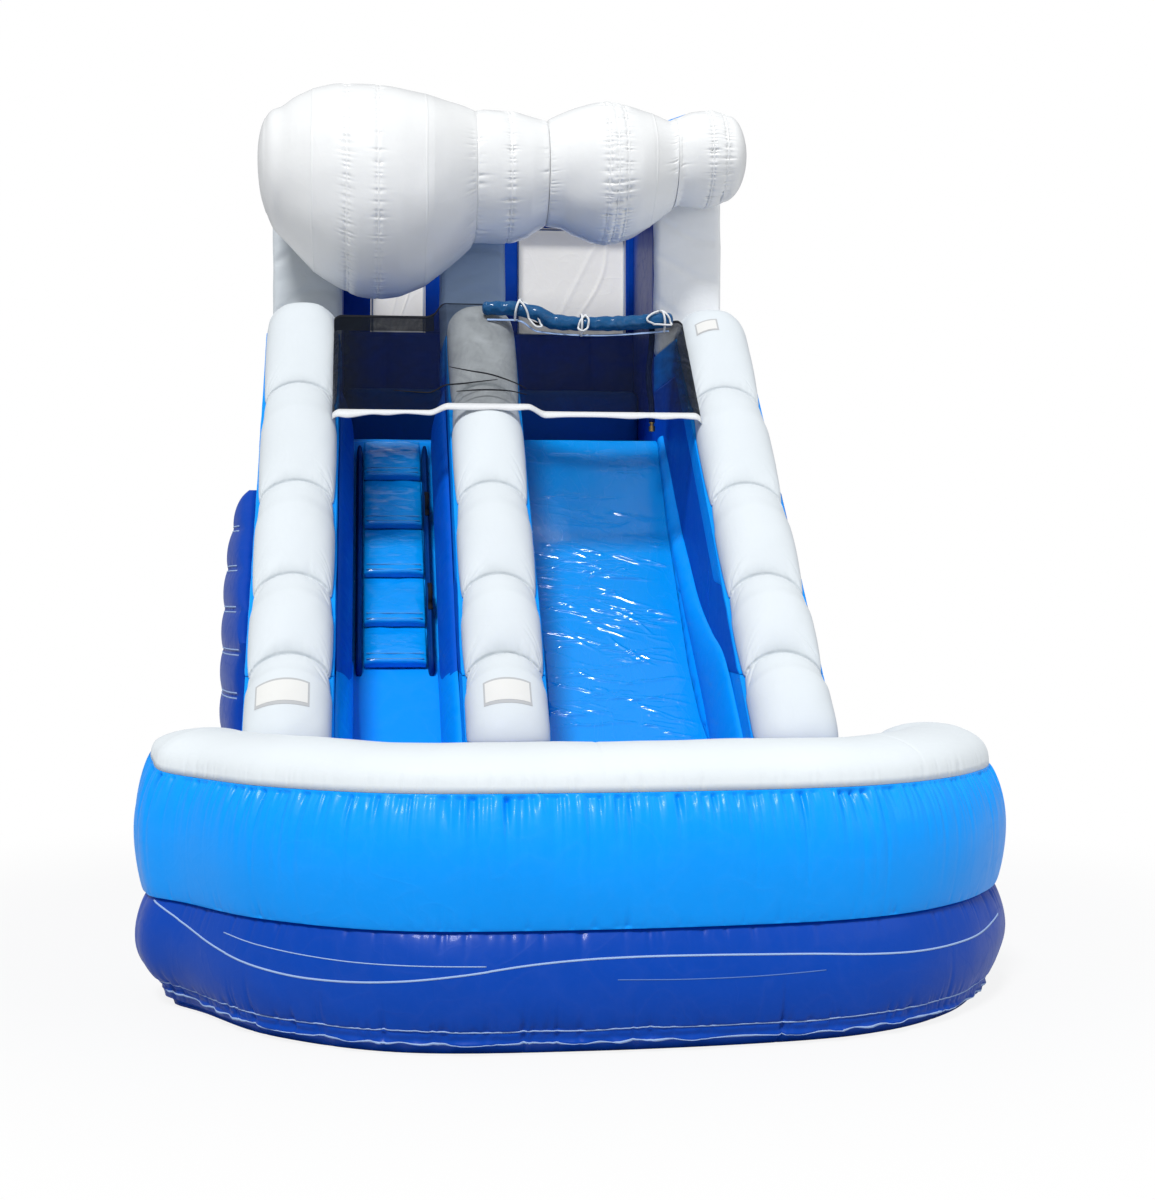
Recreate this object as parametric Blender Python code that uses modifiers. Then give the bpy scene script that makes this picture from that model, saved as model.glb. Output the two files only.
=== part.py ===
"""Inflatable water slide: a climbing lane beside a sliding lane between three scalloped walls,
a platform with three posts, two windows and a crest of four lobes, and a ring pool in front.

Metres, +Z up, +Y towards the back, +X to the right of someone facing the slide. Each chamber is
its own object. The large chambers are skins: their air space is open towards the chamber or the
ground below, the way the real chambers are joined inside by ports.
"""

import math

import bmesh
import bpy
import numpy as np

for leftover in list(bpy.data.objects):
    bpy.data.objects.remove(leftover, do_unlink=True)

# Driving dimensions, in metres.
GAP = 0.0003  # sewn faces stay this far apart
SKIN = 0.042  # thickness left round an air space

# across the slide
OUTER_WALL = 0.38
CENTRE_WALL = 0.366
CLIMB_LANE = 0.56
SLIDE_LANE = 0.87

# along the slide, from the pool end to the back
WALL_FRONT = 0.10
FOOT_LENGTH = 1.05  # light blue foot of each wall
LENS_REACH = 0.71  # where the light blue band under the caps starts
SLOPE_RUN = 2.05  # the walls climb over this length
PLATFORM_START = 2.60
TOWER_SETBACK = 0.71  # from the top of the slope to the posts
TOWER_DEPTH = 0.09
UPPER_WALL_LENGTH = 0.85
BACK_WALL_DEPTH = 0.25

# heights
FOOT_HEIGHT = 1.0  # top of the walls at the pool
FOOT_TOP = 1.27  # level top of the light blue foot
LEDGE_RISE = 0.516  # level tops of the walls over the platform
LENS_DEPTH = 0.20  # light blue band under the upper three bumps
STRIP_DEPTH = 0.02
BED_START = 0.24
PLATFORM_HEIGHT = 2.49
BED_THICKNESS = 0.30
TOWER_RISE = 1.044  # posts over the level tops
BEAM_HEIGHT = 0.37
BEAM_DEPTH = 0.34
BEAM_PLACE_SHARES = (0.0, 0.01, 0.04, 0.79, 0.87, 0.925, 0.96, 0.99, 1.0)
BEAM_TOP_SHARES = (0.55, 0.68, 0.75, 0.75, 0.86, 1.0, 1.0, 0.93, 0.8)
WALL_ROUND = 0.07
PAD_ROUND = 0.04

# caps
CAP_INSET = 0.004
CAP_LOW = 0.075  # crown over the seam at a crease
CAP_HIGH = 0.165  # crown over the seam on a bump
CAP_PINCH = 0.014  # each side draws in this much at a crease
CAP_RIM = 0.012
CREASE_SHARES = (0.1507, 0.1756, 0.2244, 0.2634)  # of the slope's run, from the pool end up

# pool
POOL_WIDTH = 3.52
POOL_SHIFT = 0.115
POOL_REACH = 1.435
TUBE_WIDTH = 0.54
LOWER_RING = 0.438
UPPER_RING = 0.48
RIM_HEIGHT = 0.165
RING_BULGE = 0.028
RING_TUCK = 0.045
FLOOR_THICKNESS = 0.05
POOL_X_SHARES = (-0.5, -0.487, -0.447, -0.357, -0.215, -0.016, 0.195, 0.308, 0.394, 0.456, 0.493, 0.5)
POOL_Y_SHARES = (0.2488, 0.345, 0.46, 0.746, 0.965, 1.0, 0.951, 0.857, 0.69, 0.488, 0.3, 0.178)

# climbing lane
STEPS_START = 1.535  # along the slope from the pool end
STEPS_RUN = 1.80
STEP_SHARES = (0.1598, 0.2048, 0.2142, 0.227, 0.1942)  # lowest first
STEP_LIP = 0.055
STEP_TAIL = 0.014
STEP_WIDTH = 0.30
RAIL_WIDTH = 0.05
RAIL_HEIGHT = 0.09
HANDLE_WIDTH = 0.13
HANDLE_REACH = 0.045
HANDLE_THICKNESS = 0.011
HANDLE_FLAT_SHARE = 0.88  # the webbing lies on a flat of its section
HANDLE_PLACE_SHARES = (0.236, 0.64)  # of the run of steps, on the inner rail

# sliding lane
COVER_THICKNESS = 0.004
COVER_WAVE = 0.003
BOLSTER_START = 0.95  # along the slope, past the walls' feet
BOLSTER_WIDTH = 0.12
BOLSTER_HEIGHT = 0.12
BOLSTER_PLACE_SHARES = (0.0, 0.03, 0.10, 0.25, 0.45, 0.7, 1.0)
BOLSTER_WIDTH_SHARES = (0.2, 0.6, 0.86, 1.0, 0.88, 0.75, 0.38)

# platform
PLATFORM_BOLSTER_DEPTH = 0.28
PLATFORM_BOLSTER_HEIGHT = 0.39
WINDOW_RISE = 0.76  # sill over the platform
WINDOW_HEIGHT = 0.68
SLIDE_WINDOW = 0.69
CLIMB_WINDOW = 0.34
WINDOW_SIDE = 0.165  # frame between the climbing side window and the outer wall
WINDOW_NEAR = 0.035
WINDOW_PANEL = 0.006
PANEL_INSET = 0.09

# crest, from the viewer's left: seams between lobes, lobe peaks, radii and axis heights
CREST_OVERHANG_LEFT = 0.063
CREST_OVERHANG_RIGHT = 0.081
CREST_RADIUS = 0.578
CREST_SEAM_SHARES = (0.435, 0.584, 0.84)  # of the crest's length
CREST_PEAK_SHARES = (0.23, 0.46, 0.705, 0.915)
PEAK_RADIUS_SHARES = (1.0, 0.623, 0.687, 0.4706)
SEAM_RADIUS_SHARES = (0.6142, 0.4775, 0.3927)
PEAK_DROP_SHARES = (0.4014, 0.2163, 0.1765, 0.0138)  # of the radius, under the top of the posts
SEAM_DROP_SHARES = (0.2232, 0.1609, 0.0502)
CREST_BACK_SHARE = 0.75

# side panels
PANEL_START = 0.62  # from the front of the wall
PANEL_HEIGHT = 2.14
PANEL_BULGE_LEFT = 0.20
PANEL_BULGE_RIGHT = 0.07
PANEL_EDGE = 0.05
CHANNELS = 11
CHANNEL_DEPTH = 0.016

# net, sleeve, hose and ties
NET_OVERLAP = 0.05  # the net's ends lie on the shoulders of the outer caps
NET_THICKNESS = 0.006
NET_LENGTH = 0.80
NET_CORD = 0.016
NET_TOP_RUN = 2.05  # from the front of the walls, along Y
HEM_WIDTH = 0.035
SLEEVE_RADIUS = 0.042
NET_SAG = 0.07
NET_SHOULDER = 0.11  # the net comes down off the centre cap over this width
HOSE_DROP = 0.50
HOSE_RADIUS = 0.016
TIE_RADIUS = 0.006
TIE_SHARES = (0.2782, 0.4736, 0.8874)  # of the sliding lane's width
COUPLING_RADIUS = 0.017
COUPLING_LENGTH = 0.028
STEM_RADIUS = 0.011
STEM_LENGTH = 0.045
STEM_EMERGES = 0.020

# anchors, inflation tube and zip
PATCH_SIZE = 0.16
PATCH_THICKNESS = 0.006
ANCHOR_HEIGHT = 0.16
RING_WIDTH = 0.075
RING_DROP = 0.055
RING_WIRE = 0.008
LOOP_RADIUS = 0.016
LOOP_WIDTH = 0.04
PIN_CLEARANCE = 0.0008
TUBE_RADIUS = 0.16
TUBE_WALL = 0.012
TUBE_LENGTH = 0.45
TUBE_SIDE = 0.55
ZIP_LENGTH = 0.60
ZIP_TAPE = 0.07
ZIP_TAPE_THICKNESS = 0.003
ZIP_RIDGE = 0.012
ZIP_RIDGE_HEIGHT = 0.005
ZIP_HEIGHT = 0.55
SLIDER_LENGTH = 0.034
SLIDER_WIDTH = 0.022
SLIDER_TOP = 0.006

# Places worked out from the dimensions.
TOTAL = 2 * OUTER_WALL + CENTRE_WALL + CLIMB_LANE + SLIDE_LANE
LEFT_OUT = -TOTAL / 2
LEFT_IN = LEFT_OUT + OUTER_WALL
MID_LEFT = LEFT_IN + CLIMB_LANE
MID_RIGHT = MID_LEFT + CENTRE_WALL
RIGHT_IN = MID_RIGHT + SLIDE_LANE
RIGHT_OUT = RIGHT_IN + OUTER_WALL

LEDGE_START = WALL_FRONT + SLOPE_RUN
TOWER_FRONT = LEDGE_START + TOWER_SETBACK
UPPER_START = TOWER_FRONT + TOWER_DEPTH
WALL_BACK = UPPER_START + UPPER_WALL_LENGTH
REAR = WALL_BACK + BACK_WALL_DEPTH
LEDGE_HEIGHT = PLATFORM_HEIGHT + LEDGE_RISE
TOWER_TOP = LEDGE_HEIGHT + TOWER_RISE
WINDOW_SILL = PLATFORM_HEIGHT + WINDOW_RISE
WINDOW_TOP = WINDOW_SILL + WINDOW_HEIGHT
SEAM_SLOPE = (LEDGE_HEIGHT - FOOT_HEIGHT) / SLOPE_RUN
BED_SLOPE = (PLATFORM_HEIGHT - BED_START) / (PLATFORM_START - WALL_FRONT)
BED_ANGLE = math.atan(BED_SLOPE)
BED_LENGTH = (PLATFORM_START - WALL_FRONT) / math.cos(BED_ANGLE)
FOOT_END = WALL_FRONT + FOOT_LENGTH
LENS_START = WALL_FRONT + LENS_REACH
RIM_SEAM = LOWER_RING + UPPER_RING
OBJECT_FRONT = WALL_FRONT - POOL_REACH - RING_BULGE
OBJECT_REAR = REAR + TUBE_LENGTH
FRAME_X = POOL_SHIFT
FRAME_Y = (OBJECT_FRONT + OBJECT_REAR) / 2

# Collections, materials and helpers.
SLIDE = bpy.data.collections.new("inflatable_water_slide")
bpy.context.scene.collection.children.link(SLIDE)
CUTTERS = bpy.data.collections.new("cutters")
bpy.context.scene.collection.children.link(CUTTERS)
CUTTERS.hide_render = True

ORIGIN = bpy.data.objects.new("slide_origin", None)
ORIGIN.location = (-FRAME_X, -FRAME_Y, 0)
SLIDE.objects.link(ORIGIN)


def material(name, colour, roughness, metallic=0.0):
    made = bpy.data.materials.new(name)
    made.use_nodes = True
    shader = made.node_tree.nodes["Principled BSDF"]
    shader.inputs["Base Color"].default_value = (*colour, 1.0)
    shader.inputs["Roughness"].default_value = roughness
    shader.inputs["Metallic"].default_value = metallic
    return made


LIGHT_BLUE = (0.0, 0.27, 0.87)
ROYAL = (0.006, 0.055, 0.42)
NAVY = (0.004, 0.022, 0.14)
WHITE = (0.87, 0.91, 0.95)
CREAM = (0.75, 0.73, 0.67)
BLACK = (0.012, 0.014, 0.02)
BRASS = (0.72, 0.47, 0.16)
STEEL = (0.62, 0.62, 0.62)


def place(obj, colour, roughness=0.35, metallic=0.0):
    """Names the material after the object, and hangs the object under the slide's origin."""
    obj.data.materials.clear()
    obj.data.materials.append(material(obj.name + "_look", colour, roughness, metallic))
    SLIDE.objects.link(obj)
    obj.parent = ORIGIN
    return obj


def as_object(name, bm):
    bmesh.ops.recalc_face_normals(bm, faces=bm.faces[:])
    mesh = bpy.data.meshes.new(name)
    bm.to_mesh(mesh)
    bm.free()
    mesh.shade_smooth()
    mesh.set_sharp_from_angle(angle=math.radians(40))
    return bpy.data.objects.new(name, mesh)


def round_edges(obj, width, segments=3):
    bevel = obj.modifiers.new("rounded_edges", "BEVEL")
    bevel.width = width
    bevel.segments = segments
    bevel.limit_method = "ANGLE"
    bevel.angle_limit = math.radians(20)
    bevel.use_clamp_overlap = True
    return obj


def hollow(obj, cutter):
    """Cuts the chamber's air space, which the cutter carries past one face of it."""
    CUTTERS.objects.link(cutter)
    cutter.parent = ORIGIN
    cutter.hide_render = True
    cutter.display_type = "WIRE"
    cut = obj.modifiers.new("air_space", "BOOLEAN")
    cut.operation = "DIFFERENCE"
    cut.solver = "EXACT"
    cut.object = cutter
    return obj


def box(name, low, high):
    """A cuboid between two corners, from the cube primitive."""
    bm = bmesh.new()
    bmesh.ops.create_cube(bm, size=1)
    low, high = np.array(low), np.array(high)
    for vert in bm.verts:
        vert.co = low + (np.array(vert.co) + 0.5) * (high - low)
    return as_object(name, bm)


def side_slab(name, outline, left, right):
    """A flat outline in the YZ plane, filled and extruded from X = left to X = right."""
    curve = bpy.data.curves.new(name + "_outline", "CURVE")
    curve.dimensions = "2D"
    curve.fill_mode = "BOTH"
    curve.extrude = (right - left) / 2
    line = curve.splines.new("POLY")
    line.points.add(len(outline) - 1)
    for point, (y, z) in zip(line.points, outline):
        point.co = (y, z, 0, 1)
    line.use_cyclic_u = True
    flat = bpy.data.objects.new(name + "_outline", curve)
    SLIDE.objects.link(flat)
    graph = bpy.context.evaluated_depsgraph_get()
    mesh = bpy.data.meshes.new_from_object(flat.evaluated_get(graph))
    bpy.data.objects.remove(flat, do_unlink=True)
    bm = bmesh.new()
    bm.from_mesh(mesh)
    bmesh.ops.remove_doubles(bm, verts=bm.verts[:], dist=0.0001)
    bmesh.ops.dissolve_limit(bm, angle_limit=0.01, verts=bm.verts[:], edges=bm.edges[:])
    middle = (left + right) / 2
    for vert in bm.verts:
        y, z, x = vert.co
        vert.co = (middle + x, y, z)
    return as_object(name, bm)


def loft(name, rings):
    """A closed body through rings of points that differ from station to station."""
    bm = bmesh.new()
    loops = [[bm.verts.new(point) for point in ring] for ring in rings]
    for near, far in zip(loops, loops[1:]):
        for i in range(len(near)):
            j = (i + 1) % len(near)
            bm.faces.new((near[i], near[j], far[j], far[i]))
    bm.faces.new(loops[0][::-1])
    bm.faces.new(loops[-1])
    return as_object(name, bm)


def tube(name, points, radius, sides_level=2, cyclic=False):
    """A round tube along a line of points: a curve with a bevel, made a mesh."""
    curve = bpy.data.curves.new(name + "_line", "CURVE")
    curve.dimensions = "3D"
    curve.bevel_depth = radius
    curve.bevel_resolution = sides_level
    curve.use_fill_caps = not cyclic
    line = curve.splines.new("POLY")
    line.points.add(len(points) - 1)
    for spline_point, (x, y, z) in zip(line.points, points):
        spline_point.co = (x, y, z, 1)
    line.use_cyclic_u = cyclic
    made = bpy.data.objects.new(name + "_line", curve)
    SLIDE.objects.link(made)
    graph = bpy.context.evaluated_depsgraph_get()
    mesh = bpy.data.meshes.new_from_object(made.evaluated_get(graph))
    bpy.data.objects.remove(made, do_unlink=True)
    bm = bmesh.new()
    bm.from_mesh(mesh)
    bmesh.ops.remove_doubles(bm, verts=bm.verts[:], dist=0.0001)
    return as_object(name, bm)


def smooth_line(points, count):
    """Evenly placed points on a Catmull-Rom curve through the given ones."""
    points = np.array(points, float)
    ends = np.vstack((2 * points[0] - points[1], points, 2 * points[-1] - points[-2]))
    dense = []
    for a, b, c, d in zip(ends, ends[1:], ends[2:], ends[3:]):
        for t in np.linspace(0, 1, 24, endpoint=False):
            square = (2 * a - 5 * b + 4 * c - d) * t**2
            cube = (3 * b - a - 3 * c + d) * t**3
            dense.append((2 * b + (c - a) * t + square + cube) / 2)
    dense = np.array(dense + [points[-1]])
    run = np.concatenate(([0], np.cumsum(np.linalg.norm(np.diff(dense, axis=0), axis=1))))
    steps = np.linspace(0, run[-1], count)
    return np.stack([np.interp(steps, run, dense[:, k]) for k in range(points.shape[1])], axis=1)


def seam_height(y):
    """Height of the walls' top, where the caps are sewn on."""
    return np.minimum(FOOT_HEIGHT + SEAM_SLOPE * (y - WALL_FRONT), LEDGE_HEIGHT)


def bed_height(y):
    return BED_START + BED_SLOPE * (y - WALL_FRONT)


def on_slope(x, along, out):
    """A point by its distance up the bed from the pool end and its height off the bed."""
    y = WALL_FRONT + along * math.cos(BED_ANGLE) - out * math.sin(BED_ANGLE)
    z = BED_START + along * math.sin(BED_ANGLE) + out * math.cos(BED_ANGLE)
    return (x, y, z)


# Walls: royal slabs, with light blue trim over them and at their feet.
BARE_DROP = STRIP_DEPTH * math.hypot(1, SEAM_SLOPE)


def seam_reach(height):
    """Where along Y the walls' sloping top is this high."""
    return WALL_FRONT + (height - FOOT_HEIGHT) / SEAM_SLOPE


def wall_outline(kind):
    """Outline of a royal wall in Y and Z, under the trim."""
    foot = FOOT_END + GAP
    step = FOOT_TOP + GAP
    top = [
        (LEDGE_START, LEDGE_HEIGHT - LENS_DEPTH),
        (LENS_START + LENS_DEPTH, seam_height(LENS_START + LENS_DEPTH) - LENS_DEPTH),
        (LENS_START, seam_height(LENS_START) - BARE_DROP),
        (seam_reach(step + BARE_DROP), step),
        (foot, step),
    ]
    if kind == "outer":
        back = [
            (foot, 0),
            (WALL_BACK - GAP, 0),
            (WALL_BACK - GAP, TOWER_TOP),
            (UPPER_START, TOWER_TOP),
            (UPPER_START, LEDGE_HEIGHT - LENS_DEPTH),
        ]
    else:
        back = [
            (foot, 0),
            (PLATFORM_START - GAP, 0),
            (PLATFORM_START - GAP, PLATFORM_HEIGHT + GAP),
            (TOWER_FRONT + TOWER_DEPTH, PLATFORM_HEIGHT + GAP),
            (TOWER_FRONT + TOWER_DEPTH, LEDGE_HEIGHT - LENS_DEPTH),
        ]
    return back + top


def trim_outline(kind):
    """Light blue: the foot at the pool, a strip under the fourth bump and a deep band above it."""
    end = UPPER_START - GAP if kind == "outer" else TOWER_FRONT + TOWER_DEPTH
    lift = GAP * 1.5
    return [
        (WALL_FRONT, 0),
        (FOOT_END - GAP, 0),
        (FOOT_END - GAP, FOOT_TOP - GAP),
        (seam_reach(FOOT_TOP - GAP + BARE_DROP - lift), FOOT_TOP - GAP),
        (LENS_START, seam_height(LENS_START) - BARE_DROP + lift),
        (LENS_START + LENS_DEPTH, seam_height(LENS_START + LENS_DEPTH) - LENS_DEPTH + lift),
        (LEDGE_START, LEDGE_HEIGHT - LENS_DEPTH + lift),
        (end, LEDGE_HEIGHT - LENS_DEPTH + lift),
        (end, LEDGE_HEIGHT),
        (LEDGE_START, LEDGE_HEIGHT),
        (WALL_FRONT, FOOT_HEIGHT),
    ]


def air_outline(kind):
    """The air space of a royal wall, carried below the ground plane."""
    low = FOOT_END + SKIN
    steep = SKIN * math.hypot(1, SEAM_SLOPE)
    back = WALL_BACK - SKIN if kind == "outer" else PLATFORM_START - SKIN
    band = LEDGE_HEIGHT - LENS_DEPTH
    shoulder = LENS_START + LENS_DEPTH
    top = band - SKIN if kind == "outer" else PLATFORM_HEIGHT - SKIN
    knee = shoulder + (top - (seam_height(shoulder) - LENS_DEPTH - steep)) / SEAM_SLOPE
    front = LENS_START - SKIN * 3
    post = [(back, top)]
    if kind == "outer":
        post = [
            (back, TOWER_TOP - SKIN),
            (UPPER_START + SKIN, TOWER_TOP - SKIN),
            (UPPER_START + SKIN, top),
        ]
    return [
        (low, -SKIN),
        (back, -SKIN),
        *post,
        (min(knee, UPPER_START - SKIN, back - SKIN), top),
        (shoulder + SKIN, seam_height(shoulder + SKIN) - LENS_DEPTH - steep),
        (front, seam_height(front) - LENS_DEPTH / 2 - steep),
        (front, FOOT_TOP + SKIN),
        (low, FOOT_TOP + SKIN),
    ]


for side, left, right, kind in (
    ("left", LEFT_OUT, LEFT_IN, "outer"),
    ("centre", MID_LEFT, MID_RIGHT, "centre"),
    ("right", RIGHT_IN, RIGHT_OUT, "outer"),
):
    wall = side_slab(side + "_wall", wall_outline(kind), left, right)
    place(wall, ROYAL)
    hollow(wall, side_slab(side + "_wall_air", air_outline(kind), left + SKIN, right - SKIN))
    trim = side_slab(side + "_wall_trim", trim_outline(kind), left, right)
    place(trim, LIGHT_BLUE)
    foot_air = box(
        side + "_foot_air",
        (left + SKIN, WALL_FRONT + SKIN, -SKIN),
        (right - SKIN, FOOT_END - SKIN, FOOT_HEIGHT - SKIN),
    )
    hollow(trim, foot_air)


# Caps: white pillows sewn along the walls' tops.
def cap_stations():
    """(y, z, crown, pinch) along a cap: five bumps up the slope, then the ledge to the post."""
    creases = [WALL_FRONT]
    for share in CREASE_SHARES:
        creases.append(creases[-1] + share * SLOPE_RUN)
    creases.append(LEDGE_START + TOWER_SETBACK / 3)
    found = []
    for start, end in zip(creases, creases[1:]):
        first = start == WALL_FRONT
        for t in np.linspace(0, 1, 7, endpoint=False):
            swell = math.sin(math.pi * t) ** 0.45 if t > 0 else 0.0
            if first:
                swell = math.sqrt(max(1 - (1 - min(6 * t, 1)) ** 2, 0)) if t < 0.5 else swell
            y = start + (end - start) * t
            crown = CAP_LOW + (CAP_HIGH - CAP_LOW) * swell
            if first and t < 0.5:
                crown = CAP_RIM + (CAP_HIGH - CAP_RIM) * swell
            found.append((y, crown, CAP_PINCH * (1 - swell)))
    found.append((creases[-1], CAP_LOW, CAP_PINCH))
    found.append((TOWER_FRONT - GAP, CAP_LOW, CAP_PINCH))
    if not any(abs(y - LEDGE_START) < GAP for y, _, _ in found):
        later = next(i for i, row in enumerate(found) if row[0] > LEDGE_START)
        before, after = found[later - 1], found[later]
        share = (LEDGE_START - before[0]) / (after[0] - before[0])
        found.insert(later, tuple(p + (q - p) * share for p, q in zip(before, after)))
        found[later] = (LEDGE_START, *found[later][1:])
    return found


def cap_ring(left, right, y, crown, pinch):
    """Cross-section of a cap: flat on the seam, low rims, and a round crown between them."""
    slope = SEAM_SLOPE if y < LEDGE_START else 0.0
    if y == LEDGE_START:
        slope = math.tan(math.atan(SEAM_SLOPE) / 2)
    length = math.hypot(1, slope)
    back, up = -slope / length, 1 / length
    half = (right - left) / 2 - CAP_INSET - pinch
    middle = (left + right) / 2
    base = seam_height(y) + 2 * GAP
    ring = [(middle - half, y, base), (middle + half, y, base)]
    for angle in np.linspace(0, math.pi, 9):
        x = middle + half * math.cos(angle)
        out = CAP_RIM / 2 + (crown - CAP_RIM / 2) * math.sin(angle) ** 0.75
        ring.append((x, min(y + back * out, TOWER_FRONT - GAP), base + up * out))
    return ring


CAP_STATIONS = cap_stations()
for side, left, right in (
    ("left", LEFT_OUT, LEFT_IN),
    ("centre", MID_LEFT, MID_RIGHT),
    ("right", RIGHT_IN, RIGHT_OUT),
):
    place(loft(side + "_cap", [cap_ring(left, right, *row) for row in CAP_STATIONS]), WHITE, 0.4)

# Lanes and platform.
BED_DROP = BED_THICKNESS / math.cos(BED_ANGLE)
BED_TOE = WALL_FRONT + (BED_DROP - BED_START) / BED_SLOPE
BED_OUTLINE = [
    (WALL_FRONT, 0),
    (BED_TOE, 0),
    (PLATFORM_START - GAP, PLATFORM_HEIGHT - BED_DROP),
    (PLATFORM_START - GAP, bed_height(PLATFORM_START - GAP)),
    (WALL_FRONT, BED_START),
]
SKIN_DROP = SKIN / math.cos(BED_ANGLE)
BED_AIR = [
    (BED_TOE + SKIN, -BED_DROP),
    (PLATFORM_START - SKIN, bed_height(PLATFORM_START - SKIN) - BED_DROP - SKIN),
    (PLATFORM_START - SKIN, bed_height(PLATFORM_START - SKIN) - SKIN_DROP),
    (BED_TOE + SKIN, bed_height(BED_TOE + SKIN) - SKIN_DROP),
]
for name, left, right in (
    ("climb_bed", LEFT_IN + GAP, MID_LEFT - GAP),
    ("slide_bed", MID_RIGHT + GAP, RIGHT_IN - GAP),
):
    bed = side_slab(name, BED_OUTLINE, left, right)
    place(bed, LIGHT_BLUE)
    hollow(bed, side_slab(name + "_air", BED_AIR, left + SKIN, right - SKIN))

platform = box(
    "platform_floor",
    (LEFT_IN + GAP, PLATFORM_START + GAP, PLATFORM_HEIGHT - BED_DROP),
    (RIGHT_IN - GAP, WALL_BACK - GAP, PLATFORM_HEIGHT),
)
place(platform, LIGHT_BLUE)
hollow(
    platform,
    box(
        "platform_air",
        (LEFT_IN + SKIN, PLATFORM_START + SKIN, PLATFORM_HEIGHT - BED_DROP - SKIN),
        (RIGHT_IN - SKIN, WALL_BACK - SKIN, PLATFORM_HEIGHT - SKIN),
    ),
)
bolster = box(
    "platform_bolster",
    (LEFT_IN + GAP, WALL_BACK - PLATFORM_BOLSTER_DEPTH, PLATFORM_HEIGHT + GAP),
    (RIGHT_IN - GAP, WALL_BACK - GAP, PLATFORM_HEIGHT + PLATFORM_BOLSTER_HEIGHT),
)
round_edges(place(bolster, LIGHT_BLUE), PAD_ROUND, 2)


# Climbing lane: shingled steps between two rails, with webbing handles.
STEP_LEFT = (LEFT_IN + MID_LEFT - STEP_WIDTH) / 2
STEP_RIGHT = STEP_LEFT + STEP_WIDTH


def step_outline(start, depth):
    """A step pad in along and out: a round lip at the bottom that thins towards the next lip."""
    lip = STEP_LIP / 2
    points = [(start, 2 * GAP)]
    for angle in np.linspace(-math.pi / 2, math.pi / 2, 6):
        points.append((start + lip - lip * math.cos(angle), lip + 2 * GAP + lip * math.sin(angle)))
    points.append((start + depth / 2, STEP_LIP * 0.8))
    points.append((start + depth - GAP, STEP_TAIL))
    points.append((start + depth - GAP, 2 * GAP))
    return [p for i, p in enumerate(points) if i == 0 or math.dist(p, points[i - 1]) > GAP / 2]


def slope_ring(x, outline):
    return [on_slope(x, along, out) for along, out in outline]


place_along = STEPS_START
for number, share in enumerate(STEP_SHARES, 1):
    depth = share * STEPS_RUN
    outline = step_outline(place_along, depth)
    swollen = [(a, 2 * GAP + (o - 2 * GAP) * 0.8) for a, o in outline]
    rings = [
        slope_ring(STEP_LEFT, swollen),
        slope_ring(STEP_LEFT + STEP_WIDTH / 8, outline),
        slope_ring(STEP_RIGHT - STEP_WIDTH / 8, outline),
        slope_ring(STEP_RIGHT, swollen),
    ]
    place(loft("climb_step_" + str(number), rings), LIGHT_BLUE)
    place_along += depth
STEPS_END = STEPS_START + STEPS_RUN


def half_round(centre, width, height, count=7):
    """Half-round cross-section standing on the bed: (x, out) pairs."""
    ring = []
    for angle in np.linspace(0, math.pi, count):
        ring.append((centre + width / 2 * math.cos(angle), 2 * GAP + height * math.sin(angle)))
    return ring


def half_round_bar(name, centre, width, height, stations):
    """A half-round pad along the bed. Each station is (along, share of its size)."""
    rings = []
    for along, share in stations:
        ring = half_round(centre, width * (0.4 + 0.6 * share), height * share)
        rings.append([on_slope(x, along, out) for x, out in ring])
    return loft(name, rings)


RAIL_START = STEPS_START - RAIL_WIDTH
RAIL_STATIONS = [
    (RAIL_START, 0.2),
    (RAIL_START + RAIL_WIDTH / 3, 0.8),
    (RAIL_START + RAIL_WIDTH, 1.0),
    (STEPS_END - RAIL_WIDTH * 3, 1.0),
    (STEPS_END - RAIL_WIDTH * 7 / 3, 0.8),
    (STEPS_END - RAIL_WIDTH * 2, 0.2),
]
RAIL_LEFT = STEP_LEFT - GAP - RAIL_WIDTH / 2
RAIL_RIGHT = STEP_RIGHT + GAP + RAIL_WIDTH / 2
place(half_round_bar("climb_rail_left", RAIL_LEFT, RAIL_WIDTH, RAIL_HEIGHT, RAIL_STATIONS), NAVY)
place(half_round_bar("climb_rail_right", RAIL_RIGHT, RAIL_WIDTH, RAIL_HEIGHT, RAIL_STATIONS), NAVY)

for number, share in enumerate(HANDLE_PLACE_SHARES, 1):
    along = STEPS_START + share * STEPS_RUN
    seat = RAIL_HEIGHT + 3 * GAP + HANDLE_THICKNESS * HANDLE_FLAT_SHARE
    arc = []
    for angle in np.linspace(0, math.pi, 9):
        swing = HANDLE_WIDTH / 2 * math.cos(angle)
        out = seat + HANDLE_REACH * math.sin(angle)
        arc.append(on_slope(RAIL_RIGHT, along + swing, out))
    first = on_slope(RAIL_RIGHT, along + HANDLE_WIDTH * 3 / 4, seat)
    last = on_slope(RAIL_RIGHT, along - HANDLE_WIDTH * 3 / 4, seat)
    handle = tube("climb_handle_" + str(number), [first, *arc, last], HANDLE_THICKNESS, 1)
    place(handle, BLACK, 0.8)


# Sliding lane: loose cover sheet and the bolsters that hold it in.
COVER_LEFT = MID_RIGHT + BOLSTER_WIDTH + 3 * GAP
COVER_RIGHT = RIGHT_IN - BOLSTER_WIDTH - 3 * GAP


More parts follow.
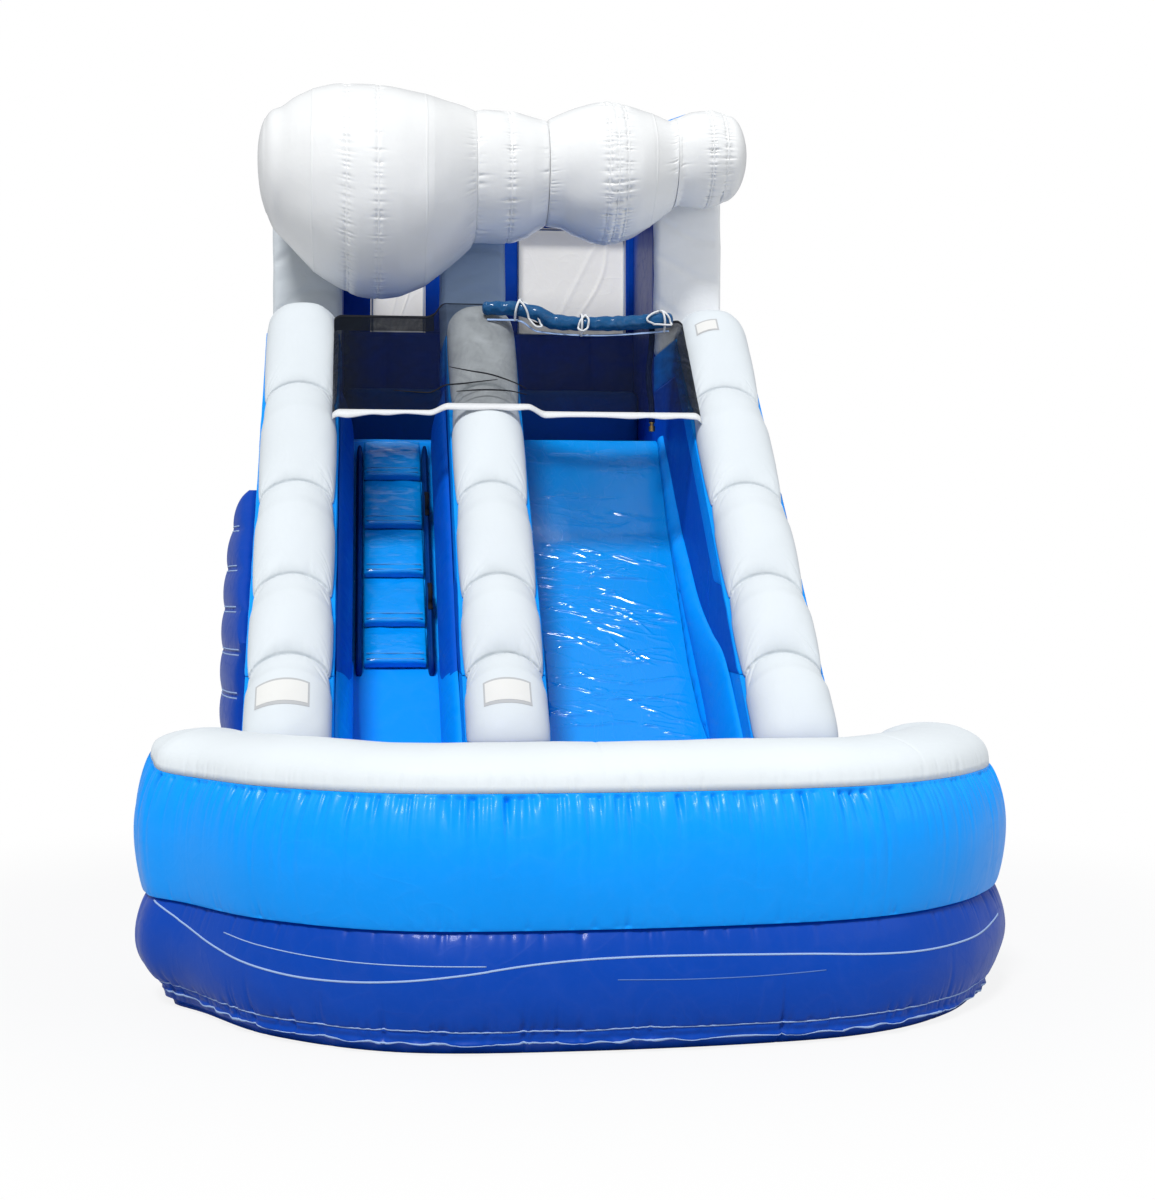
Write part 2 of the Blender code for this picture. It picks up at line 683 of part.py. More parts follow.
def cover_ring(along):
    """Sheet cross-section: flat beneath, with shallow loose waves above."""
    ring = [on_slope(COVER_LEFT, along, 2 * GAP), on_slope(COVER_RIGHT, along, 2 * GAP)]
    for share in np.linspace(1, 0, 9):
        wave = COVER_WAVE * (1 + math.sin(9 * share + 5 * math.sin(2.2 * along) + 7 * along)) / 2
        x = COVER_LEFT + (COVER_RIGHT - COVER_LEFT) * share
        ring.append(on_slope(x, along, 2 * GAP + COVER_THICKNESS + wave))
    return ring


COVER_STATIONS = np.linspace(GAP, BED_LENGTH - GAP, 21)
place(loft("slide_cover", [cover_ring(a) for a in COVER_STATIONS]), LIGHT_BLUE, 0.2)


def bolster_ring(wall, inward, along, share):
    """Quarter-round between bed and wall, widest in the middle of the lane."""
    ring = [(wall + inward * GAP, 2 * GAP)]
    for angle in np.linspace(0, math.pi / 2, 6):
        x = wall + inward * (GAP + BOLSTER_WIDTH * share * math.cos(angle))
        height = BOLSTER_HEIGHT * (0.4 + 0.6 * share)
        ring.append((x, 2 * GAP + height * (0.04 + 0.96 * math.sin(angle))))
    return [on_slope(x, along, out) for x, out in ring]


for name, wall, inward in (
    ("slide_bolster_left", MID_RIGHT, 1),
    ("slide_bolster_right", RIGHT_IN, -1),
):
    rings = []
    for place_share, width_share in zip(BOLSTER_PLACE_SHARES, BOLSTER_WIDTH_SHARES):
        along = BOLSTER_START + (BED_LENGTH - GAP - BOLSTER_START) * place_share
        rings.append(bolster_ring(wall, inward, along, width_share))
    place(loft(name, rings), LIGHT_BLUE)

# Back wall with two windows, posts and the crest.
back_wall = box("back_wall", (LEFT_OUT, WALL_BACK, 0), (RIGHT_OUT, REAR, TOWER_TOP))
place(back_wall, ROYAL)
hollow(
    back_wall,
    box(
        "back_air",
        (LEFT_OUT + SKIN, WALL_BACK + SKIN, -SKIN),
        (RIGHT_OUT - SKIN, REAR - SKIN, WINDOW_SILL - 2 * SKIN),
    ),
)
SLIDE_WINDOW_LEFT = RIGHT_IN - WINDOW_NEAR - SLIDE_WINDOW
CLIMB_WINDOW_LEFT = LEFT_IN + WINDOW_SIDE
for name, left, width in (
    ("climb_window", CLIMB_WINDOW_LEFT, CLIMB_WINDOW),
    ("slide_window", SLIDE_WINDOW_LEFT, SLIDE_WINDOW),
):
    hollow(
        back_wall,
        box(name + "_hole", (left, WALL_BACK - SKIN, WINDOW_SILL), (left + width, REAR + SKIN, WINDOW_TOP)),
    )
    pane = box(
        name,
        (left + GAP, WALL_BACK + PANEL_INSET, WINDOW_SILL + GAP),
        (left + width - GAP, WALL_BACK + PANEL_INSET + WINDOW_PANEL, WINDOW_TOP - GAP),
    )
    place(pane, CREAM, 0.6)

for side, left, right in (("left", LEFT_OUT, LEFT_IN), ("right", RIGHT_IN, RIGHT_OUT)):
    post = box(
        side + "_tower",
        (left, TOWER_FRONT, LEDGE_HEIGHT + GAP),
        (right, UPPER_START - GAP, TOWER_TOP),
    )
    round_edges(place(post, WHITE, 0.4), PAD_ROUND, 2)
post = box(
    "centre_tower",
    (MID_LEFT, TOWER_FRONT, LEDGE_HEIGHT + GAP),
    (MID_RIGHT, TOWER_FRONT + TOWER_DEPTH, TOWER_TOP),
)
round_edges(place(post, WHITE, 0.4), PAD_ROUND, 2)


def beam_ring(x, share):
    """Round-cornered cross-section of the beam, its top at a share of the beam's height."""
    low, high = TOWER_TOP + GAP, TOWER_TOP + BEAM_HEIGHT * share
    near, far = TOWER_FRONT, TOWER_FRONT + BEAM_DEPTH
    ring = []
    for y, z, turn in (
        (far - WALL_ROUND, high - WALL_ROUND, 0),
        (near + WALL_ROUND, high - WALL_ROUND, 1),
        (near + WALL_ROUND, low + WALL_ROUND, 2),
        (far - WALL_ROUND, low + WALL_ROUND, 3),
    ):
        for part in (0, 1, 2, 3):
            angle = (turn + part / 3) * math.pi / 2
            ring.append((x, y + WALL_ROUND * math.cos(angle), z + WALL_ROUND * math.sin(angle)))
    return ring


beam_rings = []
for place_share, top_share in zip(BEAM_PLACE_SHARES, BEAM_TOP_SHARES):
    beam_rings.append(beam_ring(LEFT_OUT + TOTAL * place_share, top_share))
place(loft("crest_beam", beam_rings), LIGHT_BLUE)

CREST_BACK = TOWER_FRONT - GAP
CREST_LEFT = LEFT_OUT - CREST_OVERHANG_LEFT
CREST_LENGTH = RIGHT_OUT + CREST_OVERHANG_RIGHT - CREST_LEFT
seams = [CREST_LEFT + share * CREST_LENGTH for share in (0, *CREST_SEAM_SHARES, 1)]
peaks = [CREST_LEFT + share * CREST_LENGTH for share in CREST_PEAK_SHARES]
peak_radii = [CREST_RADIUS * share for share in PEAK_RADIUS_SHARES]
peak_levels = [TOWER_TOP - CREST_RADIUS * share for share in PEAK_DROP_SHARES]
seam_radii = [0.0, *(CREST_RADIUS * share for share in SEAM_RADIUS_SHARES), 0.0]
seam_levels = [TOWER_TOP - CREST_RADIUS * share for share in SEAM_DROP_SHARES]
seam_levels = [peak_levels[0], *seam_levels, peak_levels[-1]]


def lobe_size(lobe, x):
    """Radius and axis height of a lobe at x: an elliptic arc either side of its peak."""
    peak, top, level = peaks[lobe], peak_radii[lobe], peak_levels[lobe]
    end = lobe + (x > peak)
    reach = abs(seams[end] - peak) / math.sqrt(1 - (seam_radii[end] / top) ** 2)
    share = abs(x - peak) / abs(seams[end] - peak)
    blend = (1 - math.cos(math.pi * share)) / 2
    radius = top * math.sqrt(max(1 - ((x - peak) / reach) ** 2, 0.0004))
    return radius, level + (seam_levels[end] - level) * blend


def lobe_ring(lobe, x):
    radius, level = lobe_size(lobe, x)
    middle = CREST_BACK - CREST_BACK_SHARE * radius
    ring = []
    for angle in np.linspace(0, 2 * math.pi, 18, endpoint=False):
        y = min(middle + radius * math.cos(angle), CREST_BACK)
        ring.append((x, y, level + radius * math.sin(angle)))
    return ring


for lobe in range(4):
    start, end = seams[lobe] + (lobe > 0) * GAP / 2, seams[lobe + 1] - (lobe < 3) * GAP / 2
    shares = [(1 - math.cos(math.pi * t)) / 2 for t in np.linspace(0, 1, 13)]
    rings = [lobe_ring(lobe, start + (end - start) * share) for share in shares]
    made = place(loft("crest_lobe_" + str(lobe + 1), rings), WHITE, 0.4)
    if lobe == 0:
        radius, level = lobe_size(0, peaks[0])
        inner = radius * 0.42
        core = box(
            "crest_air",
            (peaks[0] - inner, CREST_BACK - radius * 1.2, level - inner),
            (peaks[0] + inner, CREST_BACK + SKIN, level + inner),
        )
        hollow(made, core)


# Side panels: pillows with level channels on the outer faces of the outer walls.
def panel_ring(side, share, bulge):
    """Cross-section at a share of the panel's length: flat on the wall, scalloped outside."""
    y = WALL_FRONT + PANEL_START + (WALL_BACK - WALL_FRONT - PANEL_START) * share
    swell = math.sqrt(max(1 - abs(2 * share - 1) ** 3, 0))
    height = min(PANEL_HEIGHT, seam_height(y) - LENS_DEPTH)
    ring = [(side * (RIGHT_OUT + GAP), y, 0), (side * (RIGHT_OUT + PANEL_EDGE), y, 0)]
    for step in range(CHANNELS * 2 + 1):
        level = step / (CHANNELS * 2)
        dome = math.sqrt(max(1 - abs(2 * level - 1) ** 2.6, 0))
        dip = CHANNEL_DEPTH if step % 2 == 0 else 0
        out = PANEL_EDGE + (bulge - PANEL_EDGE) * dome * swell - dip * (0 < step < 2 * CHANNELS)
        ring.append((side * (RIGHT_OUT + out), y, GAP + (height - GAP) * level))
    ring.append((side * (RIGHT_OUT + GAP), y, height))
    return ring


for name, side, bulge in (
    ("side_panel_left", -1, PANEL_BULGE_LEFT),
    ("side_panel_right", 1, PANEL_BULGE_RIGHT),
):
    shares = [(1 - math.cos(math.pi * t)) / 2 for t in np.linspace(0, 1, 9)]
    panel = place(loft(name, [panel_ring(side, share, bulge) for share in shares]), ROYAL)
    if bulge < 4 * SKIN:
        continue
    deep = sorted((side * (RIGHT_OUT - SKIN), side * (RIGHT_OUT + bulge - SKIN - CHANNEL_DEPTH)))
    length = WALL_BACK - WALL_FRONT - PANEL_START
    hollow(
        panel,
        box(
            name + "_air",
            (deep[0], WALL_FRONT + PANEL_START + length * 0.28, PANEL_HEIGHT * 0.22),
            (deep[1], WALL_BACK - length * 0.2, PANEL_HEIGHT * 0.78),
        ),
    )

# Pool: two stacked rings, a white rim and a floor.
outline = [
    (POOL_SHIFT + x * POOL_WIDTH, WALL_FRONT - y * POOL_REACH)
    for x, y in zip(POOL_X_SHARES, POOL_Y_SHARES)
]
POOL_LINE = smooth_line(outline, 27)


def pool_frames():
    """(point, inward direction, size share) for each station, with a dome past each end."""
    forward = np.gradient(POOL_LINE, axis=0)
    forward /= np.linalg.norm(forward, axis=1)[:, None]
    inward = np.stack((-forward[:, 1], forward[:, 0]), axis=1)
    radius = TUBE_WIDTH / 2
    found = []
    for angle in np.radians((84, 66, 46, 24)):
        found.append((POOL_LINE[0] - forward[0] * radius * math.sin(angle), inward[0], math.cos(angle)))
    found += [(p, n, 1.0) for p, n in zip(POOL_LINE, inward)]
    for angle in np.radians((24, 46, 66, 84)):
        found.append((POOL_LINE[-1] + forward[-1] * radius * math.sin(angle), inward[-1], math.cos(angle)))
    return found


POOL_FRAMES = pool_frames()


def pool_ring(frame, section):
    """Places (inward distance, height) pairs of a tube section at a station."""
    point, inward, share = frame
    half = TUBE_WIDTH / 2
    ring = []
    for across, z in section:
        x, y = point + inward * (half + (across - half) * share)
        ring.append((x, y, z))
    return ring


def wall_section(low, high, tuck_low, tuck_high):
    """A tube section between two flat seams: bulged outside and inside."""
    section = []
    for t in np.linspace(0, 1, 5):
        tuck = tuck_low * (1 - t) + tuck_high * t
        bulge = (RING_BULGE + tuck) * math.sin(math.pi * t) ** 0.7
        section.append((tuck - bulge, low + (high - low) * t))
    return section + [(TUBE_WIDTH - across, z) for across, z in section[::-1]]


def air_section(low, high):
    return [(SKIN, low), (SKIN, high), (TUBE_WIDTH - SKIN, high), (TUBE_WIDTH - SKIN, low)]


BODY_FRAMES = POOL_FRAMES[5:-5]
lower = loft(
    "pool_lower_ring",
    [pool_ring(f, wall_section(0, LOWER_RING - GAP / 2, RING_TUCK, 0)) for f in POOL_FRAMES],
)
place(lower, ROYAL)
air = [pool_ring(f, air_section(SKIN, LOWER_RING + SKIN)) for f in BODY_FRAMES]
hollow(lower, loft("lower_ring_air", air))
upper = loft(
    "pool_upper_ring",
    [
        pool_ring(f, wall_section(LOWER_RING + GAP / 2, RIM_SEAM - GAP / 2, 0, RING_TUCK / 2))
        for f in POOL_FRAMES
    ],
)
place(upper, LIGHT_BLUE)
air = [pool_ring(f, air_section(LOWER_RING - SKIN, RIM_SEAM - SKIN)) for f in BODY_FRAMES]
hollow(upper, loft("upper_ring_air", air))


def rim_section(share):
    """White top of the ring: flat on its seam, with a round crown."""
    section = []
    for angle in np.linspace(0, math.pi, 9):
        across = TUBE_WIDTH / 2 - (TUBE_WIDTH / 2 - RING_TUCK / 2) * math.cos(angle)
        section.append((across, RIM_SEAM + GAP / 2 + RIM_HEIGHT * share**0.6 * math.sin(angle) ** 0.85))
    return section


place(loft("pool_rim", [pool_ring(f, rim_section(f[2])) for f in POOL_FRAMES]), WHITE, 0.4)

tube_foot, tube_knee = wall_section(0, LOWER_RING - GAP / 2, RING_TUCK, 0)[:2]
floor_share = FLOOR_THICKNESS / tube_knee[1]
floor_edge = TUBE_WIDTH - tube_foot[0] - (tube_knee[0] - tube_foot[0]) * floor_share + 2 * GAP
inner_line = [f[0] + f[1] * floor_edge for f in POOL_FRAMES[4:-4]]
floor_back = WALL_FRONT - GAP
floor_outline = [(inner_line[0][0], floor_back), *map(tuple, inner_line), (inner_line[-1][0], floor_back)]
curve = bpy.data.curves.new("floor_line", "CURVE")
curve.dimensions = "2D"
curve.fill_mode = "BOTH"
curve.extrude = FLOOR_THICKNESS / 2
line = curve.splines.new("POLY")
line.points.add(len(floor_outline) - 1)
for spline_point, (x, y) in zip(line.points, floor_outline):
    spline_point.co = (x, y, 0, 1)
line.use_cyclic_u = True
flat = bpy.data.objects.new("floor_line", curve)
SLIDE.objects.link(flat)
floor_mesh = bpy.data.meshes.new_from_object(flat.evaluated_get(bpy.context.evaluated_depsgraph_get()))
bpy.data.objects.remove(flat, do_unlink=True)
bm = bmesh.new()
bm.from_mesh(floor_mesh)
bmesh.ops.remove_doubles(bm, verts=bm.verts[:], dist=0.0001)
bmesh.ops.translate(bm, vec=(0, 0, FLOOR_THICKNESS / 2), verts=bm.verts[:])
place(as_object("pool_floor", bm), LIGHT_BLUE)


# Safety net over both lanes, its white hem strap, the spray sleeve and its ties.
NET_ANGLE = math.atan(SEAM_SLOPE)
CAP_MIDDLE = (MID_LEFT + MID_RIGHT) / 2
CAP_CROWN = max(crown for y, crown, _ in CAP_STATIONS if y > LENS_START)
NET_CLEAR = NET_THICKNESS / 2 + 3 * GAP


def cap_shoulder(x):
    """How high an outer cap's flat-sided crown is off the seam plane, at x from its middle."""
    half = OUTER_WALL / 2 - CAP_INSET
    angles = np.linspace(math.pi / 2, 0, 5)
    outs = CAP_RIM / 2 + (CAP_CROWN - CAP_RIM / 2) * np.sin(angles) ** 0.75
    return float(np.interp(x, half * np.cos(angles), outs))


NET_LIFT = cap_shoulder(OUTER_WALL / 2 - NET_OVERLAP) + NET_CLEAR


def crown_out(x):
    """How far the net stands off the seam plane at x, where it lies over the centre cap."""
    over = 1 - abs(x - CAP_MIDDLE) / (CENTRE_WALL / 2 + NET_SHOULDER)
    share = min(max(over * 3, 0), 1)
    top = CAP_CROWN + NET_CLEAR
    return NET_LIFT + (top - NET_LIFT) * share * share * (3 - 2 * share)


def top_sag(x):
    """The net's upper edge hangs lower across the sliding lane."""
    share = (x - MID_RIGHT) / (RIGHT_IN - MID_RIGHT)
    return NET_SAG * math.sin(math.pi * min(max(share, 0), 1) ** 0.8) if share > 0 else 0.0


def net_point(x, down, out):
    """A point of the net: down the slope from its top edge, off the walls' seam plane."""
    sag = top_sag(x)
    down = sag + down * (1 - sag / NET_LENGTH)
    y = WALL_FRONT + NET_TOP_RUN - down * math.cos(NET_ANGLE)
    z = FOOT_HEIGHT + SEAM_SLOPE * (y - WALL_FRONT)
    lift = crown_out(x) + out
    return (x, y - lift * math.sin(NET_ANGLE), z + lift * math.cos(NET_ANGLE))


NET_LEFT = LEFT_IN - NET_OVERLAP
NET_RIGHT = RIGHT_IN + NET_OVERLAP
NET_COLUMNS = 20
NET_ROWS = 7
NET_PITCH = (NET_RIGHT - NET_LEFT - NET_CORD) / NET_COLUMNS


def net_body():
    """A flat lattice bent over the centre cap: square gaps between crossing cords."""
    bm = bmesh.new()
    pitch_d = (NET_LENGTH - NET_CORD) / NET_ROWS
    xs = [NET_LEFT + k * NET_PITCH + side for k in range(NET_COLUMNS + 1) for side in (0, NET_CORD)]
    ds = [k * pitch_d + side for k in range(NET_ROWS + 1) for side in (0, NET_CORD)]
    grid = {}
    for i, x in enumerate(xs):
        for j, d in enumerate(ds):
            grid[i, j] = bm.verts.new(net_point(x, d, 0))
    for i in range(len(xs) - 1):
        for j in range(len(ds) - 1):
            if i % 2 == 0 or j % 2 == 0:
                bm.faces.new((grid[i, j], grid[i + 1, j], grid[i + 1, j + 1], grid[i, j + 1]))
    return as_object("safety_net", bm)


net = net_body()
thick = net.modifiers.new("net_thickness", "SOLIDIFY")
thick.thickness = NET_THICKNESS
thick.offset = 0
place(net, BLACK, 0.8)

hem_rings = []
for x in np.linspace(NET_LEFT, NET_RIGHT, 25):
    ring = []
    for down, out in (
        (NET_LENGTH + GAP, -NET_THICKNESS / 2),
        (NET_LENGTH + HEM_WIDTH, -NET_THICKNESS / 2),
        (NET_LENGTH + HEM_WIDTH, NET_THICKNESS),
        (NET_LENGTH + GAP, NET_THICKNESS),
    ):
        ring.append(net_point(x, down, out))
    hem_rings.append(ring)
place(loft("net_hem", hem_rings), WHITE, 0.6)

SLEEVE_LEFT = CAP_MIDDLE
SLEEVE_RIGHT = RIGHT_IN - SLEEVE_RADIUS
SLEEVE_RISE = SLEEVE_RADIUS + NET_THICKNESS / 2 + GAP


def sleeve_point(x, along=0.0, out=0.0):
    """The sleeve's middle line lies on the net, just under its upper edge."""
    nearby = np.linspace(x - 2 * SLEEVE_RADIUS, x + 2 * SLEEVE_RADIUS, 9)
    bridge = max(crown_out(near) for near in nearby) - crown_out(x)
    return net_point(x, SLEEVE_RADIUS + along, SLEEVE_RISE + bridge + out)


ties = MID_RIGHT + SLIDE_LANE * np.array(TIE_SHARES)
even_stops = np.linspace(SLEEVE_LEFT, SLEEVE_RIGHT, 13)
sleeve_stops = np.sort(np.concatenate((even_stops, ties - 2 * TIE_RADIUS, ties + 2 * TIE_RADIUS)))
sleeve_points = [sleeve_point(x) for x in sleeve_stops]
place(tube("spray_sleeve", sleeve_points, SLEEVE_RADIUS, 2), LIGHT_BLUE, 0.5)
for number, x in enumerate(ties, 1):
    reach = SLEEVE_RADIUS + TIE_RADIUS + GAP
    foot = -SLEEVE_RADIUS
    arc = [(reach, foot)]
    for angle in np.linspace(0, math.pi, 9):
        arc.append((reach * math.cos(angle), reach * math.sin(angle)))
    arc.append((-reach, foot))
    before = np.array(sleeve_point(x - 2 * TIE_RADIUS))
    after = np.array(sleeve_point(x + 2 * TIE_RADIUS))
    middle = (before + after) / 2
    run = after - before
    off = np.array((0, -math.sin(NET_ANGLE), math.cos(NET_ANGLE)))
    across = np.cross(off, run / np.linalg.norm(run))
    loop = [tuple(middle + across * along + off * out) for along, out in arc]
    place(tube("net_tie_" + str(number), loop, TIE_RADIUS, 1), WHITE, 0.7)

# Hose that drops behind the net to a brass coupling.
hose_cord = round((SLEEVE_RIGHT - 3 * SLEEVE_RADIUS - NET_LEFT) / NET_PITCH)
hx = NET_LEFT + hose_cord * NET_PITCH + NET_CORD / 2
_, hy, HOSE_TOP = net_point(hx, SLEEVE_RADIUS, 0)
hy += HOSE_RADIUS + (NET_THICKNESS / 2 + GAP) / math.sin(NET_ANGLE)
hose_points = []
for share in np.linspace(0, 1, 12):
    bend = math.sin(math.pi * min(max((share - 0.1) / 0.8, 0), 1)) ** 2
    hose_points.append((hx - HOSE_RADIUS * bend, hy + HOSE_RADIUS * bend, HOSE_TOP - HOSE_DROP * share))
place(tube("spray_hose", hose_points, HOSE_RADIUS, 2), NAVY, 0.5)


def turned(name, profile, steps=20):
    """A turned piece: a profile of (radius, height) spun by a Screw modifier."""
    bm = bmesh.new()
    verts = [bm.verts.new((radius, 0, z)) for radius, z in profile]
    for a, b in zip(verts, verts[1:]):
        bm.edges.new((a, b))
    mesh = bpy.data.meshes.new(name)
    bm.to_mesh(mesh)
    bm.free()
    made = bpy.data.objects.new(name, mesh)
    screw = made.modifiers.new("turn", "SCREW")
    screw.steps = steps
    screw.render_steps = steps
    screw.use_merge_vertices = True
    screw.merge_threshold = 0.0001
    screw.use_smooth_shade = True
    return made


STEM_TOP = HOSE_TOP - HOSE_DROP - GAP
stem = turned(
    "hose_stem",
    [
        (0, 0),
        (HOSE_RADIUS, 0),
        (HOSE_RADIUS, -STEM_RADIUS / 2),
        (STEM_RADIUS, -STEM_RADIUS / 2),
        (STEM_RADIUS, -STEM_LENGTH),
        (0, -STEM_LENGTH),
    ],
)
place(stem, BRASS, 0.3, 1.0)
stem.location = (hx, hy, STEM_TOP)
NUT_TOP = STEM_TOP - STEM_EMERGES
nut_inner = STEM_RADIUS + PIN_CLEARANCE / 2
nut = turned(
    "hose_coupling",
    [
        (nut_inner, 0),
        (COUPLING_RADIUS, 0),
        (COUPLING_RADIUS + PIN_CLEARANCE, -COUPLING_LENGTH / 4),
        (COUPLING_RADIUS + PIN_CLEARANCE, -COUPLING_LENGTH * 3 / 4),
        (COUPLING_RADIUS, -COUPLING_LENGTH),
        (nut_inner, -COUPLING_LENGTH),
        (nut_inner, 0),
    ],
)
place(nut, BRASS, 0.3, 1.0)
nut.location = (hx, hy, NUT_TOP)

# Anchors: sewn patches whose webbing loop carries a D-ring.
# A D-ring hangs from a round eye on its patch; the ring swings about the eye's level axis.


def anchor(number, place_at, along, outward):
    """A patch on a wall, with its eye, and the D-ring through the eye."""
    at, axis, out = np.array(place_at), np.array(along), np.array(outward)
    up = np.array((0, 0, 1))
    low = at - axis * PATCH_SIZE / 2 - up * PATCH_SIZE / 2 + out * GAP
    high = at + axis * PATCH_SIZE / 2 + up * PATCH_SIZE / 2 + out * (GAP + PATCH_THICKNESS)
    patch = box("anchor_patch_" + str(number), np.minimum(low, high), np.maximum(low, high))
    place(patch, NAVY, 0.6)
    outer = LOOP_RADIUS
    centre = at + out * (GAP + PATCH_THICKNESS + outer - PIN_CLEARANCE)
    low = centre - axis * LOOP_WIDTH / 2 - up * outer - out * (outer + PATCH_THICKNESS / 2)
    high = centre + axis * LOOP_WIDTH / 2 + up * outer + out * outer
    eye = box("anchor_eye_" + str(number), np.minimum(low, high), np.maximum(low, high))
    CUTTERS.objects.link(eye)
    eye.parent = ORIGIN
    eye.hide_render = True
    eye.display_type = "WIRE"
    join = patch.modifiers.new("sewn_eye", "BOOLEAN")
    join.operation = "UNION"
    join.solver = "EXACT"
    join.object = eye
    bore = RING_WIRE / 2 + PIN_CLEARANCE
    hole = tube(
        "anchor_bore_" + str(number),
        [tuple(centre - axis * LOOP_WIDTH), tuple(centre + axis * LOOP_WIDTH)],
        bore,
        3,
    )
    hollow(patch, hole)
    half = RING_WIDTH / 2
    wire = RING_WIRE / 2
    points = [(-half, 0.0), (half, 0.0)]
    for angle in np.linspace(0, math.pi, 9)[1:-1]:
        points.append((half * math.cos(angle), -RING_DROP * math.sin(angle)))
    ring = tube(
        "anchor_ring_" + str(number),
        [tuple(axis * a + up * b) for a, b in points],
        wire,
        2,
        True,
    )
    place(ring, STEEL, 0.3, 1.0)
    ring.location = tuple(centre)


ANCHOR_Y = WALL_FRONT + PANEL_START - PATCH_SIZE
anchor(1, (LEFT_OUT, ANCHOR_Y, ANCHOR_HEIGHT), (0, 1, 0), (-1, 0, 0))
anchor(2, (RIGHT_OUT, ANCHOR_Y, ANCHOR_HEIGHT), (0, 1, 0), (1, 0, 0))
anchor(3, (-TUBE_SIDE, REAR, ANCHOR_HEIGHT), (1, 0, 0), (0, 1, 0))

# Inflation tube at the back, lying on the ground.
inflation = turned(
    "inflation_tube",
    [
        (TUBE_RADIUS - TUBE_WALL, 0),
        (TUBE_RADIUS, 0),
        (TUBE_RADIUS, -TUBE_LENGTH + GAP),
        (TUBE_RADIUS - TUBE_WALL, -TUBE_LENGTH + GAP),
        (TUBE_RADIUS - TUBE_WALL, 0),
    ],
    24,
)
place(inflation, ROYAL, 0.5)
inflation.rotation_euler = (-math.pi / 2, 0, 0)
inflation.location = (TUBE_SIDE, REAR + TUBE_LENGTH, TUBE_RADIUS + GAP)

# Air release zip across the back.
tape = box(
    "zip_tape",
    (-ZIP_LENGTH / 2, REAR + GAP, ZIP_HEIGHT - ZIP_TAPE / 2),
    (ZIP_LENGTH / 2, REAR + GAP + ZIP_TAPE_THICKNESS, ZIP_HEIGHT + ZIP_TAPE / 2),
)
place(tape, BLACK, 0.6)
ridge_end = ZIP_LENGTH / 2 - SLIDER_WIDTH / 2
ridge_top = REAR + GAP + ZIP_TAPE_THICKNESS + ZIP_RIDGE_HEIGHT
ridge = box(
    "zip_ridge",
    (-ridge_end, REAR + GAP + ZIP_TAPE_THICKNESS / 2, ZIP_HEIGHT - ZIP_RIDGE / 2),
    (ridge_end, ridge_top, ZIP_HEIGHT + ZIP_RIDGE / 2),
)
CUTTERS.objects.link(ridge)
ridge.parent = ORIGIN
ridge.hide_render = True
ridge.display_type = "WIRE"
join = tape.modifiers.new("zip_teeth", "BOOLEAN")
join.operation = "UNION"
join.solver = "EXACT"
join.object = ridge

slider = box(
    "zip_slider",
    (-SLIDER_LENGTH / 2, 0, -SLIDER_WIDTH / 2),
    (SLIDER_LENGTH / 2, ZIP_RIDGE_HEIGHT + SLIDER_TOP, SLIDER_WIDTH / 2),
)
place(slider, STEEL, 0.35, 1.0)
slider_x = -ZIP_LENGTH / 2 + SLIDER_LENGTH
slider.location = (slider_x, REAR + 2 * GAP + ZIP_TAPE_THICKNESS, ZIP_HEIGHT)
groove = box(
    "slider_groove",
    (-SLIDER_LENGTH, -SLIDER_TOP, -ZIP_RIDGE / 2 - PIN_CLEARANCE / 3),
    (SLIDER_LENGTH, ZIP_RIDGE_HEIGHT + GAP, ZIP_RIDGE / 2 + PIN_CLEARANCE / 3),
)
hollow(slider, groove)
groove.location = slider.location
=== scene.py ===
"""Inflatable water slide, dressed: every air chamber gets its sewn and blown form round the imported
model, with vinyl, webbing and net finishes. Places are written in the slide's own frame, whose zero
is the middle of the outer walls at their front line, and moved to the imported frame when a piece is
made.
"""

import math

import bpy
import numpy as np
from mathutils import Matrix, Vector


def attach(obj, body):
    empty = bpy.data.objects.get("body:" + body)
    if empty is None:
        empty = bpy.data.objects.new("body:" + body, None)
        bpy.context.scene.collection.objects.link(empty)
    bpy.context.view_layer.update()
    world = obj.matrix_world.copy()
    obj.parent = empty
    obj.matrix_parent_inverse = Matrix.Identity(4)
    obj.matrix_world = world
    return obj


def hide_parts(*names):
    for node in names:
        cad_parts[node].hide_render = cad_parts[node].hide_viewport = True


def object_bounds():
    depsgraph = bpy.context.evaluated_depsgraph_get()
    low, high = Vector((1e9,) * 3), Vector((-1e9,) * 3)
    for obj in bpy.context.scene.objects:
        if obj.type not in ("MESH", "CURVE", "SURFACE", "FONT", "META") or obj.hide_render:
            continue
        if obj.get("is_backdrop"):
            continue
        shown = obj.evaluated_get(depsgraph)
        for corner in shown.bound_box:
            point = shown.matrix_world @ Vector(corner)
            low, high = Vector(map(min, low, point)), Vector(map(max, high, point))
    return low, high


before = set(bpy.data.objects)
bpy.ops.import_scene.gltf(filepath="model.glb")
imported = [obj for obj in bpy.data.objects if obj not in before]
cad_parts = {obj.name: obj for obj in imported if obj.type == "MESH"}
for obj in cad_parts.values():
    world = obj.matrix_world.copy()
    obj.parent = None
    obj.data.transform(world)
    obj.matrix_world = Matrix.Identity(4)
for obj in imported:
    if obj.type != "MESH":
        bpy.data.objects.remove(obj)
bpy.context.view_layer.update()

# Sizes shared with the model.
TO_PACKED = np.array((-0.115, -1.5685, 0.0))
LEFT_OUT, LEFT_IN = -1.278, -0.898
MID_LEFT, MID_RIGHT = -0.338, 0.028
RIGHT_IN, RIGHT_OUT = 0.898, 1.278
WALL_FRONT, FOOT_END, LENS_START = 0.10, 1.15, 0.81
LEDGE_START, PLATFORM_START = 2.15, 2.60
TOWER_FRONT, UPPER_START, WALL_BACK, REAR = 2.86, 2.95, 3.80, 4.05
